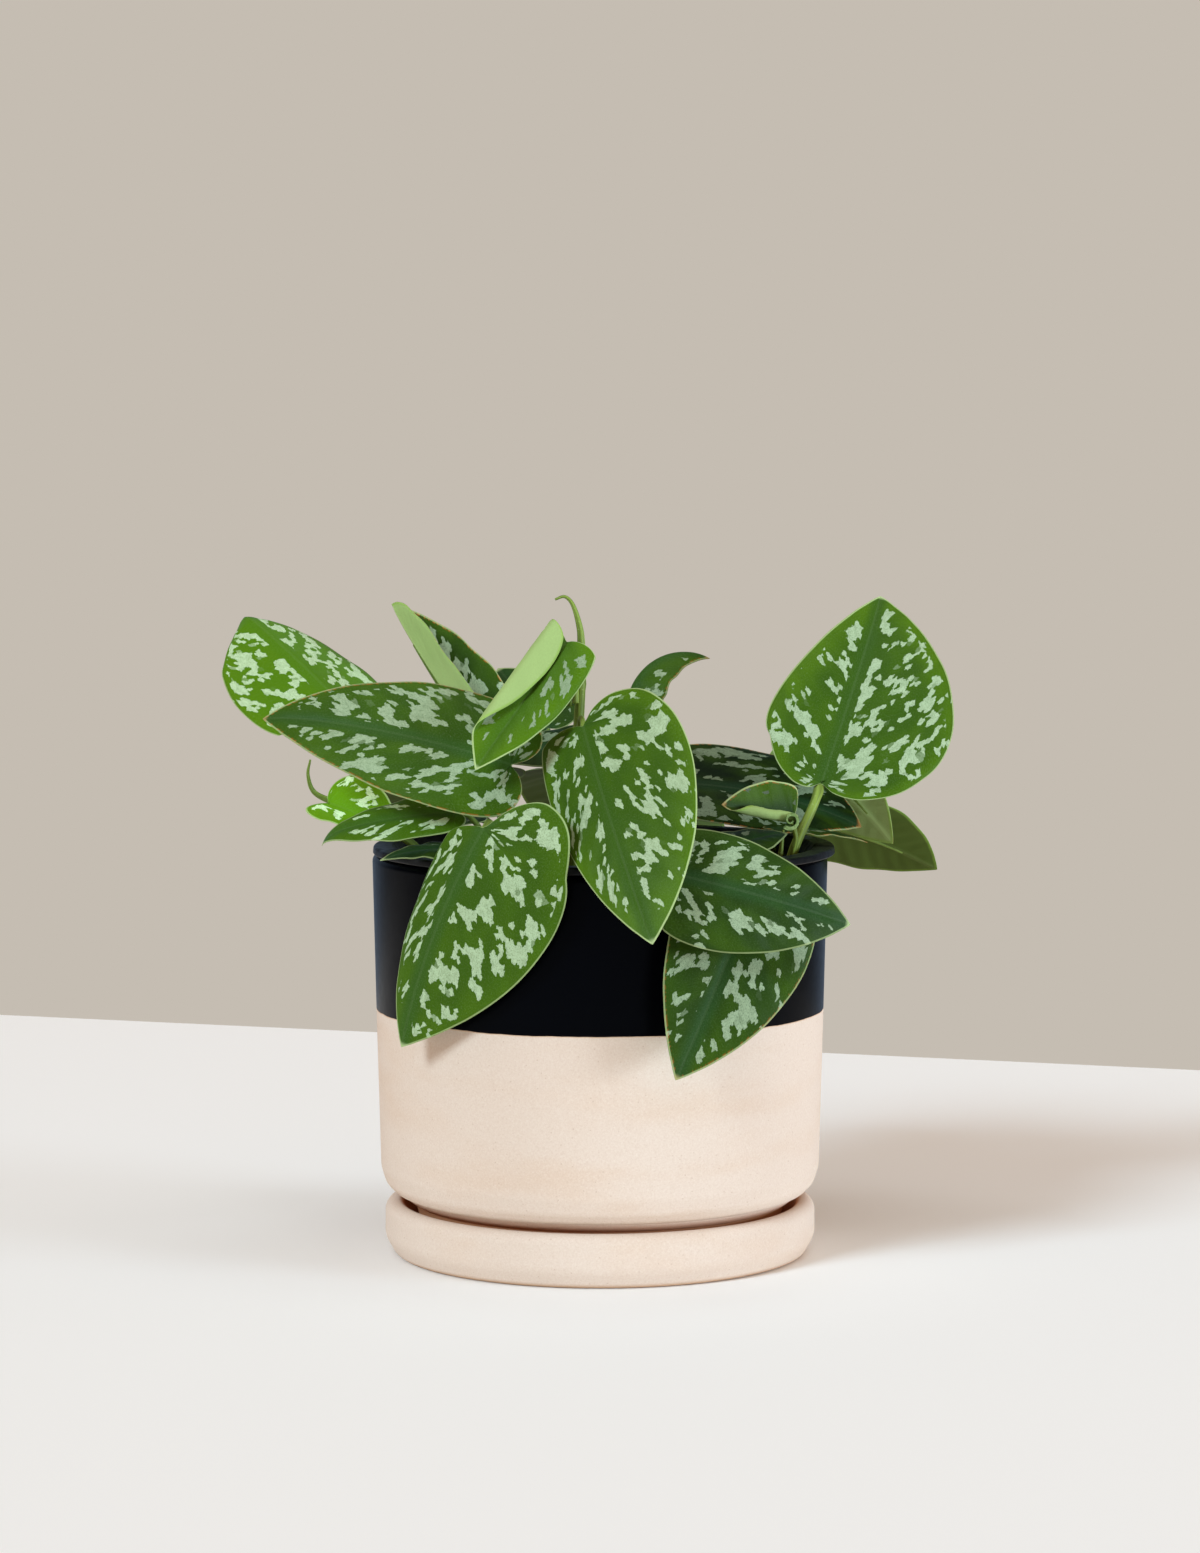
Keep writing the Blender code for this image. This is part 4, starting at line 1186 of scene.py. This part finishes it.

# %% [markdown]
# All leaves
#
# The looks are set leaf by leaf from the photograph. Tone goes from 0, an old blue-green
# leaf, to 1, a young yellow-green one, and below 0 it paints shade: the green darkens towards
# black on a leaf in the shadow of others. Youth freshens the margin. Silver says how much of the
# leaf is splashed, glow how bright the silver is, and back how pale the lower side is. A low glow
# and a back below 0 paint shade too. A few leaves also have a dry, brown tip.

# %% Make the leaves
DRY_TIPS = {
    "leaf_left_big": 0.7,
    "leaf_back_folded": 0.9,
    "leaf_right_back": 1.0,
    "leaf_right_new": 0.8,
    "leaf_back_right": 0.6,
    "leaf_right_thin": 1.0,
    "leaf_right_dark": 0.9,
    "leaf_front_right_low": 0.5,
}
LOOKS = ("tone", "youth", "silver", "glow", "back")
# Negative tones and backs and low glows paint shade on leaves in the shadow of others.
LEAF_LOOKS = {
    "leaf_front_centre": (0.42, 1.0, 0.43, 1.17, 0.5),
    "leaf_front_left": (0.43, 0.4, 0.48, 1.25, 0.5),
    "leaf_front_right": (0.1, 0.1, 0.48, 0.88, 0.5),
    "leaf_front_right_low": (0.13, 0.2, 0.48, 0.84, 0.5),
    "leaf_left_big": (0.33, 0.3, 0.55, 0.94, 0.5),
    "leaf_left_rolled": (0.62, 1.0, 0.3, 0.72, 1.0),
    "leaf_back_left": (1.05, 1.0, 0.6, 1.5, 0.5),
    "leaf_back_folded": (0.12, 0.3, 0.45, 0.95, 1.4),
    "leaf_right_big": (0.36, 0.9, 0.49, 1.08, 0.5),
    "leaf_right_dark": (-0.47, 0.0, 0.43, 0.55, 0.2),
    "leaf_back_right": (0.35, 0.2, 0.55, 0.9, 0.2),
    "leaf_right_under": (0.4, 0.5, 0.4, 0.9, -0.1),
    "leaf_right_back": (0.2, 0.4, 0.4, 0.9, 0.95),
    "leaf_right_new": (0.05, 1.0, 0.2, 0.3, 0.9),
    "leaf_left_small": (1.9, 1.0, 0.66, 2.3, 0.8),
    "leaf_left_low": (0.65, 0.3, 0.55, 1.7, 0.5),
    "leaf_right_thin": (0.1, 0.0, 0.5, 0.8, 0.3),
    "leaf_inner_left": (-0.2, 0.0, 0.4, 0.5, -0.5),
    "leaf_middle_right": (-0.15, 0.0, 0.4, 0.5, -0.4),
    "leaf_middle_back": (-0.1, 0.0, 0.4, 0.5, -0.4),
    "leaf_left_shade": (0.0, 0.0, 0.4, 0.5, -0.4),
    "leaf_rim_small": (0.0, 0.0, 0.4, 0.6, -0.3),
    "leaf_right_inner": (-0.1, 0.0, 0.4, 0.5, -0.3),
    "leaf_back_centre": (0.1, 0.0, 0.5, 0.7, 0.0),
    "leaf_rear_left": (0.25, 0.1, 0.5, 1.0, -0.45),
    "leaf_rear_centre": (0.3, 0.1, 0.5, 1.0, -0.4),
    "leaf_rear_right": (0.25, 0.1, 0.5, 1.0, -0.4),
    "leaf_rear_low": (0.3, 0.1, 0.5, 1.0, 0.4),
}
leaf_triangles = 0
for order, (name, given) in enumerate(LEAVES.items()):
    leaf = SHAPE | given | dict(zip(LOOKS, LEAF_LOOKS[name]))
    leaf |= dict(seed=order + 1, phase=(order * 0.37) % 1, dry=DRY_TIPS.get(name, 0.0))
    finishes = [leaf_face(name + "_face", leaf), leaf_back(name + "_back", leaf)]
    sheet = blade(name + "_blade", leaf, finishes)
    settle(sheet, "leaf", name)
    green = stalk_green(name + "_green", 0.3 + 0.7 * leaf["youth"])
    settle(stalk(name + "_stalk", leaf, green), "leaf", name)
    leaf_triangles += 4 * len(sheet.data.polygons)
print("leaves:", len(LEAVES), "with", leaf_triangles, "triangles")

# %% [markdown]
# Stems and spears
#
# Two vines climb out of the mix, and each ends in a spear: a new leaf still rolled up tight.
# A dry sheath stands on the right. Each is a path with the hole it stands in, if it has one,
# and its radius at both ends. A vine is a little thicker at each of its nodes.

# %% Make the stems
STEMS = {
    "stem_centre": dict(
        hole=(-8, -24),
        path=((-7.9, -24.6, 122), (-7.2, -27.4, 150), (-6, -28.9, 174), (-5.6, -29.3, 187)),
        radii=(1.8, 1.5),
    ),
    "spear_centre": dict(
        hole=None,
        path=((-5.6, -29.3, 187.4), (-6, -29.2, 194), (-8, -29.1, 201), (-10.5, -29, 203.8),
            (-13.5, -29, 203)),
        radii=(1.3, 0.35),
    ),
    "stem_left": dict(
        hole=(-50, -10),
        path=((-51, -10.2, 118), (-57, -11, 127), (-68, -12, 133.6), (-76, -12, 136.5)),
        radii=(1.4, 1.2),
    ),
    "spear_left": dict(
        hole=None,
        path=((-75, -10.2, 137.9), (-80.5, -8.3, 139.6), (-87.3, -9.3, 143),
            (-89.2, -11.5, 148.5), (-88.4, -13, 153.4)),
        radii=(1.4, 0.3),
    ),
    "sheath_right": dict(
        hole=(52.5, -14),
        path=((54.6, -14, 121), (56, -14, 132)),
        radii=(1.5, 0.35),
    ),
}
STEM_SIDES = 16
STEM_TONE = 0.8
NODES = 4
NODE_SWELLING = 0.16
for name, stem in STEMS.items():
    line = through(down_to_hole(stem["path"][::-1], stem["hole"])[::-1], 40)
    t = np.linspace(0, 1, len(line))
    radii = stem["radii"][0] + (stem["radii"][1] - stem["radii"][0]) * t
    if stem["hole"]:
        radii = radii * (1 + NODE_SWELLING * np.exp(-(((t * NODES % 1) - 0.5) / 0.07) ** 2))
        line = np.vstack([(*stem["hole"], SOIL_TOP - SUNK), line])
        radii = np.append(radii[0], radii)
    green = stalk_green(name + "_green", STEM_TONE)
    settle(rod(name + "_rod", line, radii, STEM_SIDES, green), "stem", name)
print("stems and spears:", len(STEMS))

# %% [markdown]
# The curl of the youngest leaf
#
# The youngest leaf on the right is still unrolling. At its base the rolled edge ends in a small
# spiral that faces the front, pale on the outside. It is a ribbon wound on a shrinking circle,
# thick at its outer end and thin inside.

# %% Wind the curl
CURL_PLACE = (57.7, -28.8, 136.3)
CURL_SIZE = 3.4
CURL_DEPTH = 5.0
CURL_STEPS = 70
CURL_TURNS = 1.3
CURL_START = -2.3
CURL_DARK = shade(112, 142, 72)
CURL_PALE = shade(160, 184, 118)


def curl(place, size, depth):
    """Points and faces of a ribbon wound up in the plane that faces the front."""
    points, faces = [], []
    for t in np.linspace(0, 1, CURL_STEPS):
        angle = CURL_START + CURL_TURNS * 2 * np.pi * t
        reach = size * (1 - 0.78 * t**0.8)
        thick = 0.4 + 0.8 * (1 - t) ** 2
        way = np.array([np.cos(angle), 0, np.sin(angle)])
        for inside in (0, 1):
            for back in (0, 1):
                spot = np.array(place) + way * (reach - inside * thick)
                points.append(spot + (0, back * depth * (1 - 0.3 * t), 0))
    for a in range(0, 4 * (CURL_STEPS - 1), 4):
        for one, two in ((0, 1), (1, 3), (3, 2), (2, 0)):
            faces.append((a + one, a + two, a + two + 4, a + one + 4))
    faces += [(0, 2, 3, 1), tuple(4 * (CURL_STEPS - 1) + k for k in (0, 1, 3, 2))]
    return points, faces


rolled_edge, shader, pen = new_finish("rolled edge", Roughness=0.5)
mottle = millimetres(pen).noise(1.2, 3.0).step(0.3, 0.7)
feed(shader, "Base Color", mottle.mix(CURL_DARK, CURL_PALE))
ribbon = mesh_piece(
    "leaf_right_new_curl", *curl(CURL_PLACE, CURL_SIZE, CURL_DEPTH), [rolled_edge]
)
outward(ribbon)
ribbon.data.set_sharp_from_angle(angle=np.radians(50))
settle(ribbon, "leaf", "leaf_right_new")
print("curl:", len(ribbon.data.polygons), "faces")

# %% [markdown]
# The table and the room
#
# The plant stands on a white table whose back edge shows behind the pot, in front of a warm
# grey wall. The table is one large flat sheet, with its back edge where the photograph shows
# it. The wall is only the colour of the world that the camera sees. The world has other
# colours for its light and in reflections, since the room round a studio table is dim.

# %% Set the table
WALL = shade(197, 189, 178)
ROOM = (0.43, 0.30, 0.21, 1.0)
DARK = (0.03, 0.03, 0.035, 1.0)
WALL_SEEN = (0.27, 0.36, 0.50, 1.0)
TABLE_WHITE = shade(248, 248, 247)
TABLE_BACK = ((-258, 529), (236, 370))
TABLE_SIDES = 2500  # how far the table goes on past those two points
TABLE_DEPTH = 3500

world = bpy.data.worlds.new("room")
world.use_nodes = True
room = Wire(world.node_tree)
seen = room.node("LightPath", out="Is Camera Ray")
shine = room.node("LightPath", out="Is Glossy Ray")
behind = room.node("TexCoord", out="Generated").part("Y").step(0.6, 0.92)
around = seen.mix(shine.mix(ROOM, behind.mix(DARK, WALL_SEEN)), WALL)
world.node_tree.links.new(around.socket, world.node_tree.nodes["Background"].inputs["Color"])
bpy.context.scene.world = world

along = unit(np.subtract(TABLE_BACK[1], TABLE_BACK[0]))
near = np.array([along[1], -along[0]]) * TABLE_DEPTH
left = np.array(TABLE_BACK[0]) - along * TABLE_SIDES
right = np.array(TABLE_BACK[1]) + along * TABLE_SIDES
corners = [(*p, 0) for p in (left, right, right + near, left + near)]
white, shader, pen = new_finish("white table", Roughness=1.0, Specular_IOR_Level=0.0)
shader.inputs["Base Color"].default_value = TABLE_WHITE
table = mesh_piece("table", corners, [(3, 2, 1, 0)], [white], smooth=False)
print("table:", round(np.linalg.norm(right - left) * MM, 1), "m wide")

# %% [markdown]
# The light
#
# The main light falls from the front left, fairly high, and its soft-edged shadow lies on the
# table behind the pot to the right. It is a sun, so it lights the whole table evenly, and its
# wide angle makes the edge of the shadow soft. A large light far out on the right brightens
# that side of the pot, and a weak one overhead lifts the leaves.

# %% Set the lights
KEY_POWER = 2.18
KEY_ANGLE = 17  # degrees
KEY_WAY = (1.35, 1.63, -1.3)
KEY_COLOUR = (0.66, 0.86, 1.0)
SIDE_COLOUR = (0.66, 0.84, 1.0)
TOP_COLOUR = (0.88, 0.97, 1.0)
LIGHT_SIZE = 2.0  # metres, as the places of the lights are
LIGHT_AIM = Vector((0, 0, 0.1))


def soft_light(name, place, power, colour):
    """A large square light that looks at the pot."""
    lamp = bpy.data.lights.new(name, "AREA")
    lamp.size = LIGHT_SIZE
    lamp.energy = power
    lamp.color = colour
    made = bpy.data.objects.new(name, lamp)
    made.location = Vector(place)
    made.rotation_euler = (LIGHT_AIM - Vector(place)).to_track_quat("-Z", "Y").to_euler()
    bpy.context.collection.objects.link(made)


key = bpy.data.objects.new("key", bpy.data.lights.new("key", "SUN"))
key.data.energy = KEY_POWER
key.data.angle = np.radians(KEY_ANGLE)
key.data.color = KEY_COLOUR
key.rotation_euler = Vector(KEY_WAY).to_track_quat("-Z", "Y").to_euler()
bpy.context.collection.objects.link(key)
soft_light("side", (5.6, -2.4, 0.42), 375, SIDE_COLOUR)
soft_light("top", (0.2, -0.3, 3.2), 24, TOP_COLOUR)
print("lights:", len(bpy.data.lights))
